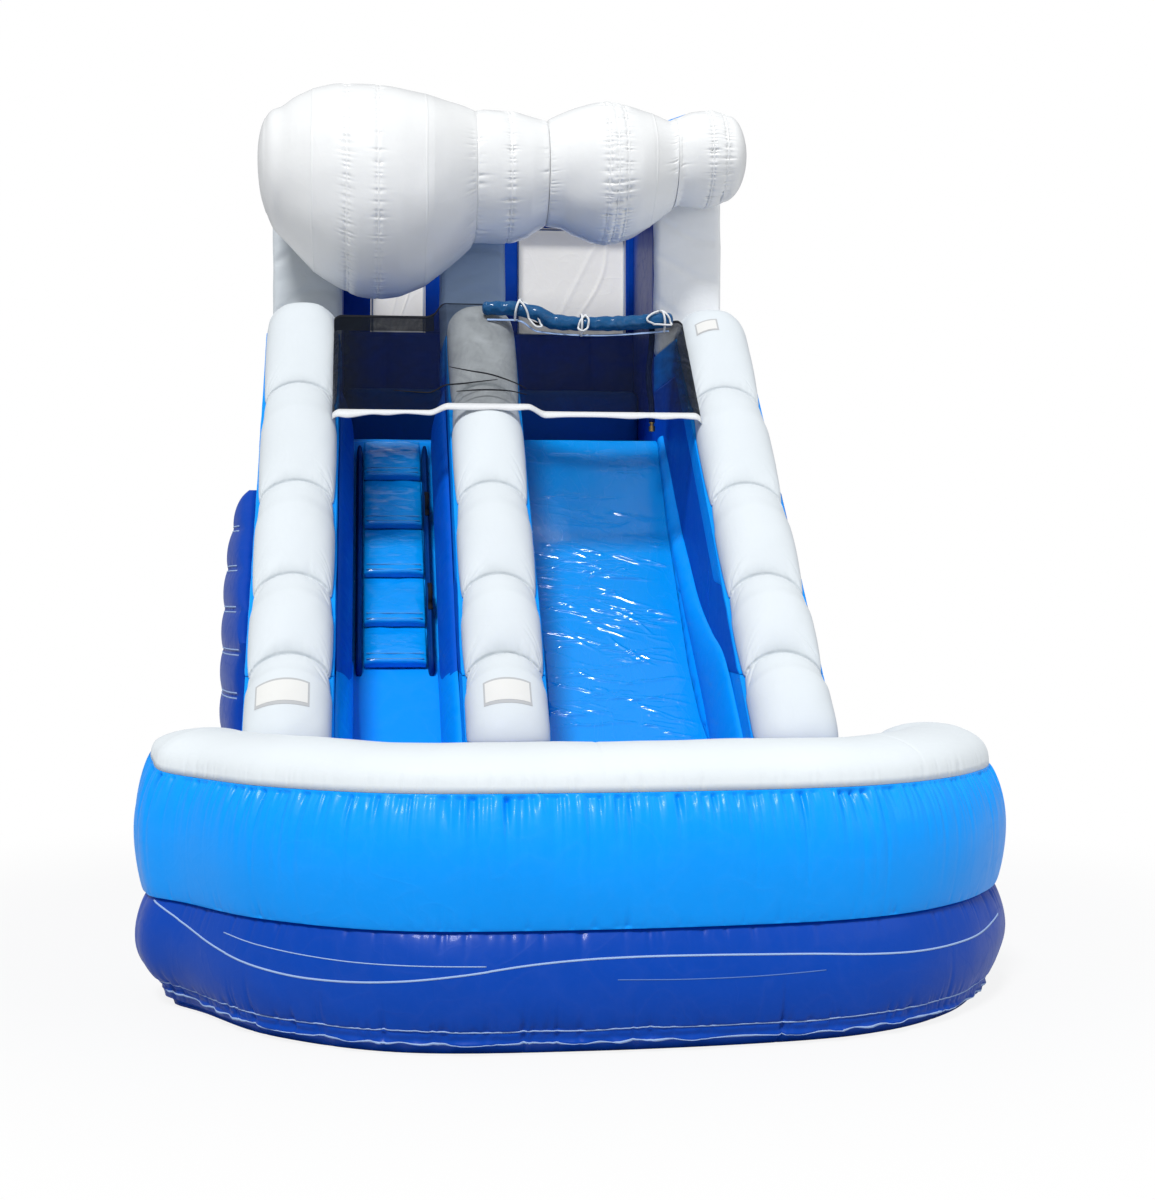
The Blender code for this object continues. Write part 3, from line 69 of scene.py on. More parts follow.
FOOT_HEIGHT, FOOT_TOP, LEDGE_HEIGHT = 1.0, 1.27, 3.006
SEAM_SLOPE = (LEDGE_HEIGHT - FOOT_HEIGHT) / (LEDGE_START - WALL_FRONT)
LENS_DEPTH, STRIP_DEPTH = 0.20, 0.02
BED_START, BED_SLOPE = 0.24, 0.9
PLATFORM_HEIGHT, TOWER_TOP = 2.49, 4.05
LOWER_RING, RIM_SEAM, RIM_HEIGHT = 0.438, 0.918, 0.165
TUBE_WIDTH, RING_BULGE, RING_TUCK = 0.54, 0.028, 0.045
BED_ANGLE = math.atan(BED_SLOPE)
BED_LENGTH = 2.5 / math.cos(BED_ANGLE)
NET_ANGLE = math.atan(SEAM_SLOPE)
EASE = 0.0006  # room left between neighbours


# Camera at the photograph's place: level, turned a little to the right.
camera_data = bpy.data.cameras.new("camera")
camera_data.lens = 57.0
camera_data.sensor_width = 36.0
camera = bpy.data.objects.new("camera", camera_data)
camera.location = np.array((-0.75, -7.966, 1.6)) + TO_PACKED
camera.rotation_euler = (math.radians(90), 0, math.radians(-6.3))
bpy.context.scene.collection.objects.link(camera)
bpy.context.scene.camera = camera


# Shader arithmetic and finishes.
class Paint:
    """A socket in a finish's nodes. Arithmetic on it adds the Math nodes that work it out."""

    def __init__(self, finish, socket):
        self.finish, self.socket = finish, socket

    def maths(self, operation, *values):
        named = dict(enumerate(values))
        return self.finish.node("ShaderNodeMath", {"operation": operation}, named)

    def __add__(self, other):
        return self.maths("ADD", self, other)

    __radd__ = __add__

    def __sub__(self, other):
        return self.maths("SUBTRACT", self, other)

    def __rsub__(self, other):
        return self.maths("SUBTRACT", other, self)

    def __mul__(self, other):
        return self.maths("MULTIPLY", self, other)

    __rmul__ = __mul__

    def __truediv__(self, other):
        return self.maths("DIVIDE", self, other)

    def __pow__(self, other):
        return self.maths("POWER", self, other)

    def __gt__(self, other):
        return self.maths("GREATER_THAN", self, other)

    def __lt__(self, other):
        return self.maths("LESS_THAN", self, other)

    def __abs__(self):
        return self.maths("ABSOLUTE", self)

    def sine(self):
        return self.maths("SINE", self)


class Nodes:
    """A tree of nodes. Every node that isn't arithmetic is added by its one method, node."""

    def __init__(self, tree):
        self.tree = tree

    def fill(self, socket, value):
        if isinstance(value, Paint):
            self.tree.links.new(value.socket, socket)
        else:
            socket.default_value = value

    def node(self, kind, settings, values, out=0):
        """Adds a node: its settings first, then the values or links of its sockets."""
        made = self.tree.nodes.new(kind)
        for key, value in settings.items():
            setattr(made, key, value)
        for key, value in values.items():
            self.fill(made.inputs[key], value)
        return Paint(self, made.outputs[out]) if made.outputs else None


class Finish(Nodes):
    """One material: a Principled shader and the nodes that feed it."""

    def __init__(self, name, colour, roughness, metallic=0.0, coat=0.0):
        self.material = bpy.data.materials.new(name)
        self.material.use_nodes = True
        super().__init__(self.material.node_tree)
        self.shader = self.tree.nodes["Principled BSDF"]
        self.set("Base Color", (*colour, 1.0))
        self.set("Roughness", roughness)
        self.set("Metallic", metallic)
        if metallic == 0:
            self.set("Specular IOR Level", 0.10)
        if coat:
            self.set("Coat Weight", coat)
            self.set("Coat Roughness", 0.13)
        self.place = self.node("ShaderNodeTexCoord", {}, {}, "Object")

    def set(self, name, value):
        self.fill(self.shader.inputs[name], value)

    def axis(self, number):
        """One coordinate of the place on the piece: 0 across, 2 upward."""
        return self.node("ShaderNodeSeparateXYZ", {}, {0: self.place}, number)

    def stretched(self, scale):
        settings = {"operation": "MULTIPLY"}
        return self.node("ShaderNodeVectorMath", settings, {0: self.place, 1: scale})

    def clouds(self, scale, detail=2.0, distortion=0.0, stretch=None):
        """Soft noise from 0 to 1, at a scale in cells to a metre."""
        where = self.stretched(stretch) if stretch else self.place
        values = {"Vector": where, "Scale": scale, "Detail": detail, "Distortion": distortion}
        return self.node("ShaderNodeTexNoise", {}, values, "Fac")

    def creases(self, scale, sharpness, distortion=0.4, stretch=None):
        """Thin ridges where soft noise crosses its middle, as in vinyl that was folded."""
        level = self.clouds(scale, 1.5, distortion, stretch)
        return (1 - abs(level * 2 - 1)) ** sharpness

    def blend(self, share, first, second):
        settings = {"data_type": "RGBA"}
        return self.node("ShaderNodeMix", settings, {0: share, 6: first, 7: second}, 2)

    def relief(self, height):
        """Height in metres."""
        values = {"Height": height, "Distance": 1.0, "Strength": 1.0}
        self.set("Normal", self.node("ShaderNodeBump", {}, values))


WEAVE_TURN, WEAVE_DEPTH = 3100, 0.000012  # threads of the base fabric: radians to a metre, metres
BRUSH_DEPTH, THREAD_DEPTH = 0.00002, 0.0003


def vinyl(name, colour, roughness=0.36, crease=0.0004, dust=0.03, coat=0.0, stretch=None, glow=0.0):
    """Coated fabric: a fine weave under a smooth skin, soft dents, old fold lines and light wear. With glow
    it also gives off its own colour as painted light, like daylight shining through.
    """
    made = Finish(name, colour, roughness, coat=coat)
    deep = tuple(c * 0.88 for c in colour)
    pale = tuple(c + (0.9 - c) * 0.10 for c in colour)
    broad = made.clouds(2.2, 3.0)
    folds = made.creases(5.0, 14.0, 0.8, stretch)
    small = made.creases(17.0, 9.0, 0.6, stretch)
    toned = made.blend(broad * 0.75, (*deep, 1.0), (*colour, 1.0))
    worn = made.blend(folds * dust + small * (dust * 0.6), toned, (*pale, 1.0))
    made.set("Base Color", worn)
    made.set("Roughness", roughness + made.clouds(30.0, 2.0) * 0.10 + folds * 0.08)
    weave = (made.axis(0) * WEAVE_TURN).sine() + (made.axis(2) * WEAVE_TURN).sine()
    weave = weave * WEAVE_DEPTH
    made.relief(folds * crease + small * (crease * 0.5) + made.clouds(9.0, 2.0) * 0.002 + weave)
    # Painted light: the finish glows with its own colour, as if daylight shone through it.
    if glow:
        made.set("Emission Color", toned)
        made.set("Emission Strength", glow)
    return made.material


def cloth(name, colour, pitch):
    """Woven webbing or tape, with its threads showing."""
    made = Finish(name, colour, 0.75)
    rows, lines = made.axis(0), made.axis(2)
    turn = 2 * math.pi / pitch
    threads = (rows * turn).sine() * (lines * turn).sine()
    dark = tuple(c * 0.55 for c in colour)
    made.set("Base Color", made.blend(threads * 0.5 + 0.5, (*dark, 1.0), (*colour, 1.0)))
    made.relief(threads * THREAD_DEPTH)
    return made.material


def metal(name, colour, roughness):
    """Metal with fine brush marks and a little tarnish."""
    made = Finish(name, colour, roughness, 1.0)
    tarnish = made.clouds(60.0, 3.0)
    dull = tuple(c * 0.62 for c in colour)
    made.set("Base Color", made.blend(tarnish, (*dull, 1.0), (*colour, 1.0)))
    made.set("Roughness", roughness + tarnish * 0.2)
    made.relief(made.clouds(400.0, 2.0, stretch=(1.0, 1.0, 6.0)) * BRUSH_DEPTH)
    return made.material


def mesh_cloth(name):
    """Black knitted mesh: see-through cells between threads."""
    made = Finish(name, (0.006, 0.008, 0.014), 0.85)
    across, upward = made.axis(0), made.axis(2)
    pitch, thread_share = 0.0062, 0.42
    turn = 2 * math.pi / pitch
    grain = made.clouds(14.0, 2.0) * 9
    rows = (across * turn + grain).sine()
    lines = (upward * turn * 1.35 + grain).sine()
    thread = (rows > thread_share) + (lines > thread_share)
    shade = made.clouds(7.0, 4.0, 1.6, (1.0, 1.0, 0.6))
    # Denser where the net is gathered: at its ends and in a fold at the top of the climbing lane.
    # Thinner over the centre cap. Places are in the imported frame.
    middle, cap_middle, cap_half = 0.115, 0.27, 0.185
    from_middle = abs(across + middle)
    ends = made.node("ShaderNodeMapRange", {}, {0: from_middle, 1: 0.74, 2: 0.86, 3: 0.0, 4: 0.34})
    fold = (upward > 3.0) * (across < -0.52) * 0.46
    over = (abs(across + cap_middle) < cap_half) * 0.13
    made.set("Alpha", 0.17 + (thread > 0.5) * 0.24 + shade * 0.42 + ends + fold - over)
    made.set("Base Color", made.blend(shade, (0.001, 0.002, 0.004, 1.0), (0.004, 0.007, 0.014, 1.0)))
    made.relief(rows * 0.0002)
    return made.material


LIGHT_BLUE_VINYL = vinyl("light_blue_vinyl", (0.0, 0.30, 0.92), 0.34, coat=0.07)
ROYAL_VINYL = vinyl("royal_vinyl", (0.0, 0.050, 0.37), 0.34, coat=0.07)
# Painted light: a lighter copy of the royal vinyl, for the walls' faces where the light falls.
LIT_WALL_VINYL = vinyl("painted_light_wall_vinyl", (0.0, 0.095, 0.56), 0.40)
# Painted shade: the platform's back pad is light blue vinyl, made dark blue for the shade it lies in.
SHADED_PAD_VINYL = vinyl("painted_shade_pad_vinyl", (0.0, 0.085, 0.34), 0.40)
NAVY_VINYL = vinyl("navy_vinyl", (0.0, 0.036, 0.19), 0.40)
WHITE_VINYL = vinyl("white_vinyl", (0.64, 0.685, 0.715), 0.42, 0.0002, 0.0)
# Painted light: the rim's white vinyl is made lighter than the caps' same vinyl.
LIT_RIM_VINYL = vinyl("painted_light_rim_vinyl", (0.70, 0.745, 0.77), 0.42, 0.0002, 0.0)
# Painted light and shade: the posts are one white vinyl, made darker on the left and centre, where the crest
# shades them, and lighter on the right.
POST_LIT_AND_SHADED_COLOURS = {"left": (0.56, 0.60, 0.63), "centre": (0.36, 0.47, 0.62), "right": (0.90, 0.92, 0.94)}
POST_LIT_AND_SHADED_FINISHES = {}
for side, colour in POST_LIT_AND_SHADED_COLOURS.items():
    POST_LIT_AND_SHADED_FINISHES[side] = vinyl(side + "_post_vinyl_painted_light_and_shade", colour, 0.42, 0.0006, 0.0)
# Painted light: the crest's white vinyl is made lighter than the caps' same vinyl.
LIT_CREST_VINYL = vinyl("painted_light_crest_vinyl", (0.80, 0.81, 0.81), 0.28, 0.0002, 0.0, 0.45)
BED_VINYL = vinyl("bed_vinyl", (0.0, 0.29, 0.80), 0.17, 0.0008, 0.02, 0.8, (1.6, 0.7, 0.7))
STEP_VINYL = vinyl("step_vinyl", (0.0, 0.31, 0.86), 0.18, 0.0006, 0.02, 0.7, (0.7, 1.6, 1.6))
# The window sheets glow a little: painted daylight, as if shining through them from behind.
WINDOW_VINYL = vinyl("window_vinyl", (0.70, 0.685, 0.64), 0.6, 0.0008, 0.02, glow=0.42)
SLEEVE_VINYL = vinyl("sleeve_vinyl", (0.003, 0.075, 0.21), 0.36, 0.0020, 0.10, 0.3, (2.0, 2.0, 2.0))
# Pale sewing thread; the same finish also paints a highlight along the lower ring's ruffle.
SEAM_AND_HIGHLIGHT_LINE = cloth("seam_thread_and_painted_highlight", (0.40, 0.56, 0.88), 0.004)
FAINT_LINE = cloth("faint_thread", (0.12, 0.24, 0.62), 0.004)
# Painted highlights: pale lines along the top and bottom edges of each step's lip.
LIP_HIGHLIGHT_LINE = cloth("painted_lip_highlight", (0.10, 0.42, 0.82), 0.004)
HEM_LINE = cloth("white_webbing", (0.84, 0.86, 0.88), 0.006)
BLACK_WEBBING = cloth("black_webbing", (0.014, 0.015, 0.02), 0.005)
TAPE_CLOTH = cloth("zip_tape_cloth", (0.016, 0.017, 0.02), 0.003)
HOSE_RUBBER = vinyl("hose_rubber", (0.004, 0.02, 0.10), 0.5, 0.0004, 0.1)
NET_MESH = mesh_cloth("net_mesh")
BRASS = metal("brass", (0.72, 0.47, 0.16), 0.28)
STEEL = metal("steel", (0.62, 0.62, 0.63), 0.30)
BLANK_PATCH = vinyl("blank_patch", (0.70, 0.70, 0.68), 0.5, 0.0003, 0.02)
PATCH_BORDER = vinyl("patch_border", (0.45, 0.46, 0.47), 0.5, 0.0003, 0.02)
# A finish with the name of its slot.
LIGHT_SKIN = (LIGHT_BLUE_VINYL, "light_blue_vinyl")
ROYAL_SKIN = (ROYAL_VINYL, "royal_vinyl")
LIT_WALL_SKIN = (LIT_WALL_VINYL, "royal_vinyl")
WHITE_SKIN = (WHITE_VINYL, "white_vinyl")
HEM_SKIN = (HEM_LINE, "white_webbing")
BLACK_SKIN = (BLACK_WEBBING, "black_webbing")


# Making pieces.
def smooth_mesh(name, points, faces, finish, slot, node=""):
    """A piece from points in the slide's own frame, riding on the slide itself."""
    mesh = bpy.data.meshes.new(name)
    mesh.from_pydata((np.asarray(points) + TO_PACKED).tolist(), [], faces)
    mesh.validate()
    mesh.shade_smooth()
    mesh.materials.append(finish)
    made = bpy.data.objects.new(name, mesh)
    bpy.context.scene.collection.objects.link(made)
    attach(made, "slide")
    if node:
        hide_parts(node)
    return made


def grid_faces(rows, columns, loop, ends):
    """Quads over rows of points, closed round each row if loop, with both ends filled if asked."""
    reach = columns if loop else columns - 1
    i, j = np.meshgrid(np.arange(rows - 1), np.arange(reach), indexing="ij")
    k = (j + 1) % columns
    quads = np.stack((i * columns + j, (i + 1) * columns + j, (i + 1) * columns + k, i * columns + k), 2)
    faces = quads.reshape(-1, 4).tolist()
    if ends:
        faces.append(list(range(columns)))
        faces.append([(rows - 1) * columns + j for j in range(columns)][::-1])
    return faces


def blown(name, grid, finish, slot, loop=True, ends=True, turn=False, fill=None, **more):
    """A piece from a grid of points, rings along its run. fill is not used."""
    rows, columns = grid.shape[:2]
    faces = grid_faces(rows, columns, loop, ends)
    if turn:
        faces = [face[::-1] for face in faces]
    made = smooth_mesh(name, grid.reshape(-1, 3), faces, finish, slot, **more)
    return made


def outward(grid, loop=True):
    """Unit normals of a grid of points, as its faces have them."""
    along = np.gradient(grid, axis=0)
    if loop:
        around = np.roll(grid, -1, 1) - np.roll(grid, 1, 1)
    else:
        around = np.gradient(grid, axis=1)
    normal = np.cross(along, around)
    return normal / (np.linalg.norm(normal, axis=2, keepdims=True) + 1e-9)


def bell(values, width, power=2):
    """1 at zero, falling away on both sides within a width."""
    return np.exp(-((values / width) ** power))


def smooth_step(share):
    return share * share * (3 - 2 * share)


def rounded_rise(share, least=0.0):
    """A quarter circle: 0 at 0, steep at first, and level at 1."""
    return np.sqrt(np.clip(1 - (1 - share) ** 2, least, 1))


def close_at_ends(low, high, count):
    """Places from low to high that lie closer together near both ends."""
    return low + (high - low) * (1 - np.cos(np.linspace(0, math.pi, count))) / 2


def evened(values, count):
    """A moving average over count values, with its ends held."""
    kernel = np.hanning(count) / np.hanning(count).sum()
    return np.convolve(np.pad(values, count // 2, "edge"), kernel, "valid")


def puckers(run, away, count, reach, depth, width, seed):
    """Gathers that run in from a seam. run is the place along it, away the distance from it."""
    rng = np.random.default_rng(seed)
    low, high = float(run.min()), float(run.max())
    grow = 1 - bell(away, 0.006)
    total = np.zeros((len(run), len(away)))
    for spot in rng.uniform(low, high, count):
        length = reach * rng.uniform(0.35, 1.5)
        deep = depth * rng.uniform(0.4, 1.3)
        wide = width * rng.uniform(0.6, 1.5)
        near = np.abs(run - spot) < 3.5 * wide
        fold = bell(run[near] - spot, wide)
        fade = bell(np.abs(away), length, 1.4) * grow
        total[near] -= deep * fold[:, None] * fade[None, :]
    return total


def ripple(grid, waves, seed):
    """Soft dents over a grid of points: waves is a list of (wavelength, height), in metres."""
    rng = np.random.default_rng(seed)
    total = np.zeros(grid.shape[:2])
    for wavelength, height in waves:
        for _ in range(5):
            heading = rng.normal(size=3)
            heading /= np.linalg.norm(heading)
            phase = rng.uniform(0, 2 * math.pi)
            stretch = wavelength * rng.uniform(0.7, 1.4)
            total += height / 2.2 * np.sin(grid @ heading * 2 * math.pi / stretch + phase)
    return total


def smooth_line(points, count):
    """Evenly placed points on a Catmull-Rom curve through the given ones."""
    points = np.array(points, float)
    ends = np.vstack((2 * points[0] - points[1], points, 2 * points[-1] - points[-2]))
    dense = []
    for a, b, c, d in zip(ends, ends[1:], ends[2:], ends[3:]):
        for t in np.linspace(0, 1, 24, endpoint=False):
            square = (2 * a - 5 * b + 4 * c - d) * t**2
            cube = (3 * b - a - 3 * c + d) * t**3
            dense.append((2 * b + (c - a) * t + square + cube) / 2)
    dense = np.array(dense + [points[-1]])
    run = run_of(dense)
    steps = np.linspace(0, run[-1], count)
    return np.stack([np.interp(steps, run, dense[:, k]) for k in range(points.shape[1])], axis=1)


def run_of(points):
    """Distance along a line of points."""
    return np.concatenate(([0], np.cumsum(np.linalg.norm(np.diff(points, axis=0), axis=1))))


def seam_height(y):
    """The walls' upper edge, where the caps are sewn on."""
    return np.minimum(FOOT_HEIGHT + SEAM_SLOPE * (y - WALL_FRONT), LEDGE_HEIGHT)


def bed_height(y):
    """The top of both lanes' beds."""
    return BED_START + BED_SLOPE * (y - WALL_FRONT)


def on_slope(x, along, out):
    """Points by distance up the bed from the pool end and height off the bed."""
    y = WALL_FRONT + along * math.cos(BED_ANGLE) - out * math.sin(BED_ANGLE)
    z = BED_START + along * math.sin(BED_ANGLE) + out * math.cos(BED_ANGLE)
    return np.stack(np.broadcast_arrays(x, y, z), axis=-1)


def ribbon(name, line, normal, width, lift, finish, slot, **more):
    """A narrow flat band along a line of points, standing a little off the surface.

    The normal is one for all its points, or one for each.
    """
    line = np.asarray(line)
    normal = np.broadcast_to(normal, line.shape)
    forward = np.gradient(line, axis=0)
    side = np.cross(forward, normal)
    side /= np.linalg.norm(side, axis=1, keepdims=True) + 1e-9
    rows = []
    for across, off in ((-0.5, -0.001), (-0.5, lift), (0.5, lift), (0.5, -0.001)):
        rows.append(line + side * np.reshape(width, (-1, 1)) * across + normal * off)
    return blown(name, np.stack(rows, axis=1), finish, slot, **more)


def cord_mesh(line, radius, sides=10):
    """Rings of points round a line, for a tube whose radius may change along it."""
    line = np.asarray(line, float)
    forward = np.gradient(line, axis=0)
    forward /= np.linalg.norm(forward, axis=1, keepdims=True)
    up = np.array((0.0, 0.0, 1.0)) if abs(forward[0, 2]) < 0.9 else np.array((1.0, 0.0, 0.0))
    radius = np.broadcast_to(np.asarray(radius, float), (len(line),))
    rings = []
    side = np.cross(forward[0], up)
    for point, heading, size in zip(line, forward, radius):
        side = side - heading * side.dot(heading)
        side /= np.linalg.norm(side)
        other = np.cross(heading, side)
        angles = np.linspace(0, 2 * math.pi, sides, endpoint=False)[:, None]
        rings.append(point + size * (np.cos(angles) * side + np.sin(angles) * other))
    return np.array(rings)


# Hose comes first among the pieces.
NET_LEFT, NET_RIGHT = LEFT_IN - 0.05, RIGHT_IN + 0.05
NET_TOP_RUN, NET_LENGTH, NET_CORD, HEM_WIDTH = 2.05, 0.80, 0.016, 0.035
NET_LIFT, NET_CROWN, NET_THICKNESS, NET_SAG = 0.12226, 0.16787, 0.006, 0.07
SLEEVE_RADIUS, HOSE_RADIUS, HOSE_DROP = 0.042, 0.016, 0.50
CAP_HIGH, CAP_LOW = 0.165, 0.075
CAP_MIDDLE = (MID_LEFT + MID_RIGHT) / 2


def crown_out(x):
    """How far the net stands off the walls' seam plane: more over the centre cap."""
    over = 1 - np.abs(x - CAP_MIDDLE) / ((MID_RIGHT - MID_LEFT) / 2 + 0.11)
    share = np.clip(over * 3, 0, 1)
    return NET_LIFT + (NET_CROWN - NET_LIFT) * smooth_step(share)


def over_cap(x):
    """How far past its upper edge the net goes on over the centre cap's top."""
    share = 1 - np.abs(x - CAP_MIDDLE) / ((MID_RIGHT - MID_LEFT) / 2 + 0.06)
    return 0.13 * np.clip(3 * share, 0, 1)


def top_sag(x):
    """How far the net's upper edge hangs down over the sliding lane."""
    share = np.clip((x - MID_RIGHT) / (RIGHT_IN - MID_RIGHT), 0, 1)
    return NET_SAG * np.sin(math.pi * share**0.8)


def net_point(x, down, out):
    """A point of the net: down the slope from its top edge, off the walls' seam plane."""
    past = np.maximum(-down, 0.0)
    sag = top_sag(x)
    down = sag + np.maximum(down, 0.0) * (1 - sag / NET_LENGTH)
    y = WALL_FRONT + NET_TOP_RUN - down * math.cos(NET_ANGLE)
    z = FOOT_HEIGHT + SEAM_SLOPE * (y - WALL_FRONT)
    lift = crown_out(x) + out
    z = z + lift * math.cos(NET_ANGLE) + 0.05 * (1 - (1 - np.minimum(past / 0.125, 1)) ** 2)
    return np.stack(np.broadcast_arrays(x, y - lift * math.sin(NET_ANGLE) + past, z), axis=-1)


net_pitch = (NET_RIGHT - NET_LEFT - NET_CORD) / 20
hose_x = NET_LEFT + round((0.73 - NET_LEFT) / net_pitch) * net_pitch + NET_CORD / 2
hose_top = net_point(hose_x, SLEEVE_RADIUS, 0.0)
hose_top[1] += HOSE_RADIUS + (NET_THICKNESS / 2 + 0.0003) / math.sin(NET_ANGLE)
hose_line = []
for share in np.linspace(0, 1, 25):
    bend = math.sin(math.pi * min(max((share - 0.1) / 0.8, 0), 1)) ** 2
    step = np.array((-HOSE_RADIUS * bend, HOSE_RADIUS * bend, -HOSE_DROP * share))
    hose_line.append(hose_top + step)
hose_line = np.array(hose_line)
hose_rings = cord_mesh(hose_line, HOSE_RADIUS, 20)
hose = blown("hose", hose_rings, HOSE_RUBBER, "hose_rubber", node="spray_hose")

# Pool: two rings, their white rim, pale sewing lines, a painted highlight along the ruffle, and the floor.
POOL_WIDTH, POOL_SHIFT, POOL_REACH = 3.52, 0.115, 1.435
POOL_X = (-0.5, -0.487, -0.447, -0.357, -0.215, -0.016, 0.195, 0.308, 0.394, 0.456, 0.493, 0.5)
POOL_Y = (0.2488, 0.345, 0.46, 0.746, 0.965, 1.0, 0.951, 0.857, 0.69, 0.488, 0.3, 0.178)
pool_outline = []
for across, forward in zip(POOL_X, POOL_Y):
    pool_outline.append((POOL_SHIFT + across * POOL_WIDTH, WALL_FRONT - forward * POOL_REACH))
pool_line = smooth_line(pool_outline, 760)
pool_forward = np.gradient(pool_line, axis=0)
pool_forward /= np.linalg.norm(pool_forward, axis=1)[:, None]
# The model turns each station by its own coarse line, so this one is eased the same way.
pool_forward = np.stack([evened(pool_forward[:, k], 61) for k in range(2)], axis=1)
pool_forward /= np.linalg.norm(pool_forward, axis=1)[:, None]
pool_inward = np.stack((-pool_forward[:, 1], pool_forward[:, 0]), axis=1)
END_ROWS = 20
dome = np.radians(np.linspace(85, 3, END_ROWS))
start = pool_line[0] - pool_forward[0] * (TUBE_WIDTH / 2) * np.sin(dome)[:, None]
finish_end = pool_line[-1] + pool_forward[-1] * (TUBE_WIDTH / 2) * np.sin(dome[::-1])[:, None]
ring_place = np.vstack((start, pool_line, finish_end))
ring_inward = np.pad(pool_inward, ((END_ROWS, END_ROWS), (0, 0)), "edge")
ring_share = np.concatenate((np.cos(dome), np.ones(len(pool_line)), np.cos(dome[::-1])))
ring_run = run_of(ring_place)
from_right = ring_run[-1] - ring_run  # ring_run itself is the distance from the left end
front_x, front_run = ring_place[END_ROWS:-END_ROWS, 0], ring_run[END_ROWS:-END_ROWS]


def ring_grid(section):
    """Carries a section of (inward distance, height) points round the pool."""
    half = TUBE_WIDTH / 2
    across = half + (section[:, 0][None, :] - half) * ring_share[:, None]
    flat = ring_place[:, None, :] + ring_inward[:, None, :] * across[:, :, None]
    heights = np.broadcast_to(section[:, 1], across.shape)
    return np.concatenate((flat, heights[:, :, None]), axis=2)


def ring_section(low, high, tuck_low, tuck_high, t):
    """A tube's two sides as (inward distance, height), drawn in at the seams below and above."""
    tuck = tuck_low * (1 - t) + tuck_high * t
    across = tuck - (RING_BULGE + tuck) * np.sin(math.pi * t) ** 0.7
    side = np.stack((across, low + (high - low) * t), axis=1)
    other = np.stack((TUBE_WIDTH - across, side[:, 1]), axis=1)[::-1]
    return np.vstack((side, other))


upper_levels = (1 - close_at_ends(0, 1, 46))[::-1]
SEAM_TUCK = 0.040
upper_section = ring_section(LOWER_RING + EASE, RIM_SEAM - EASE, 0.012, SEAM_TUCK, upper_levels)
upper = ring_grid(upper_section)
seam_rise = 0.10 * bell(ring_run, 0.30) + 0.065 * bell(from_right, 0.26)
level = (upper[:, :, 2] - LOWER_RING) / (RIM_SEAM - LOWER_RING)
upper[:, :, 2] += seam_rise[:, None] * level**2
from_top = RIM_SEAM - upper_section[:, 1]
from_low = upper_section[:, 1] - LOWER_RING
push = puckers(ring_run, from_top, 480, 0.090, 0.0062, 0.0080, 3)
push += puckers(ring_run, from_top, 110, 0.160, 0.0085, 0.0120, 31)
push += puckers(ring_run, from_low, 90, 0.035, 0.0036, 0.0080, 4)
push += ripple(upper, [(0.9, 0.003), (0.33, 0.0010)], 5) * np.sin(math.pi * np.clip(from_low / 0.48, 0, 1))
upper_out = outward(upper)
upper_blown = upper + upper_out * push[:, :, None]
blown("pool_upper_tube", upper_blown, *LIGHT_SKIN, turn=True, node="pool_upper_ring")

lower_levels = np.concatenate((np.linspace(0, 0.3, 34)[:-1], np.linspace(0.3, 1, 30)))
lower_section = ring_section(0.0, LOWER_RING - EASE, RING_TUCK, 0.030, lower_levels)
lower = ring_grid(lower_section)
from_top = LOWER_RING - lower_section[:, 1]
from_low = lower_section[:, 1]
HEM_LINE_HEIGHT, RUFFLE_HEIGHT = 0.084, 0.047
push = puckers(ring_run, from_top, 120, 0.050, 0.0035, 0.0110, 7)
push += puckers(ring_run, from_low - HEM_LINE_HEIGHT, 210, 0.026, 0.0050, 0.0110, 8)
push += puckers(ring_run, from_low - HEM_LINE_HEIGHT, 34, 0.080, 0.0100, 0.0100, 81)
push += ripple(lower, [(0.7, 0.003), (0.22, 0.0012)], 9) * np.sin(math.pi * np.clip(from_low / 0.44, 0, 1))
push -= 0.006 * bell(from_low - HEM_LINE_HEIGHT, 0.006)[None, :]
ruffle = 0.5 + 0.5 * np.sin(ring_run * 31 + 3 * np.sin(ring_run * 7.3))
ridge = bell(from_low - RUFFLE_HEIGHT, 0.007)
push += ridge[None, :] * (0.004 + 0.012 * ruffle)[:, None]
push -= (0.030 * np.clip(1 - from_low / 0.038, 0, 1) ** 0.7)[None, :]
end_tuck = bell(ring_run, 0.80) + bell(from_right, 0.70)
outer_side = np.arange(len(from_low)) < len(from_low) // 2
end_tuck_share = outer_side * np.clip(1 - from_low / 0.34, 0, 1) ** 2
push -= 0.125 * end_tuck[:, None] * end_tuck_share[None, :]
lower_out = outward(lower)
lower_out[:, [0, -1]] = lower_out[:, [1, -2]]  # the rows on the ground go level too
lower = lower + lower_out * push[:, :, None]
# The ring keeps its footing: its lowest rows only move level.
near_floor = from_low < 0.04
lower[:, near_floor, 2] = from_low[near_floor]
blown("pool_lower_tube", lower, *ROYAL_SKIN, turn=True, node="pool_lower_ring")

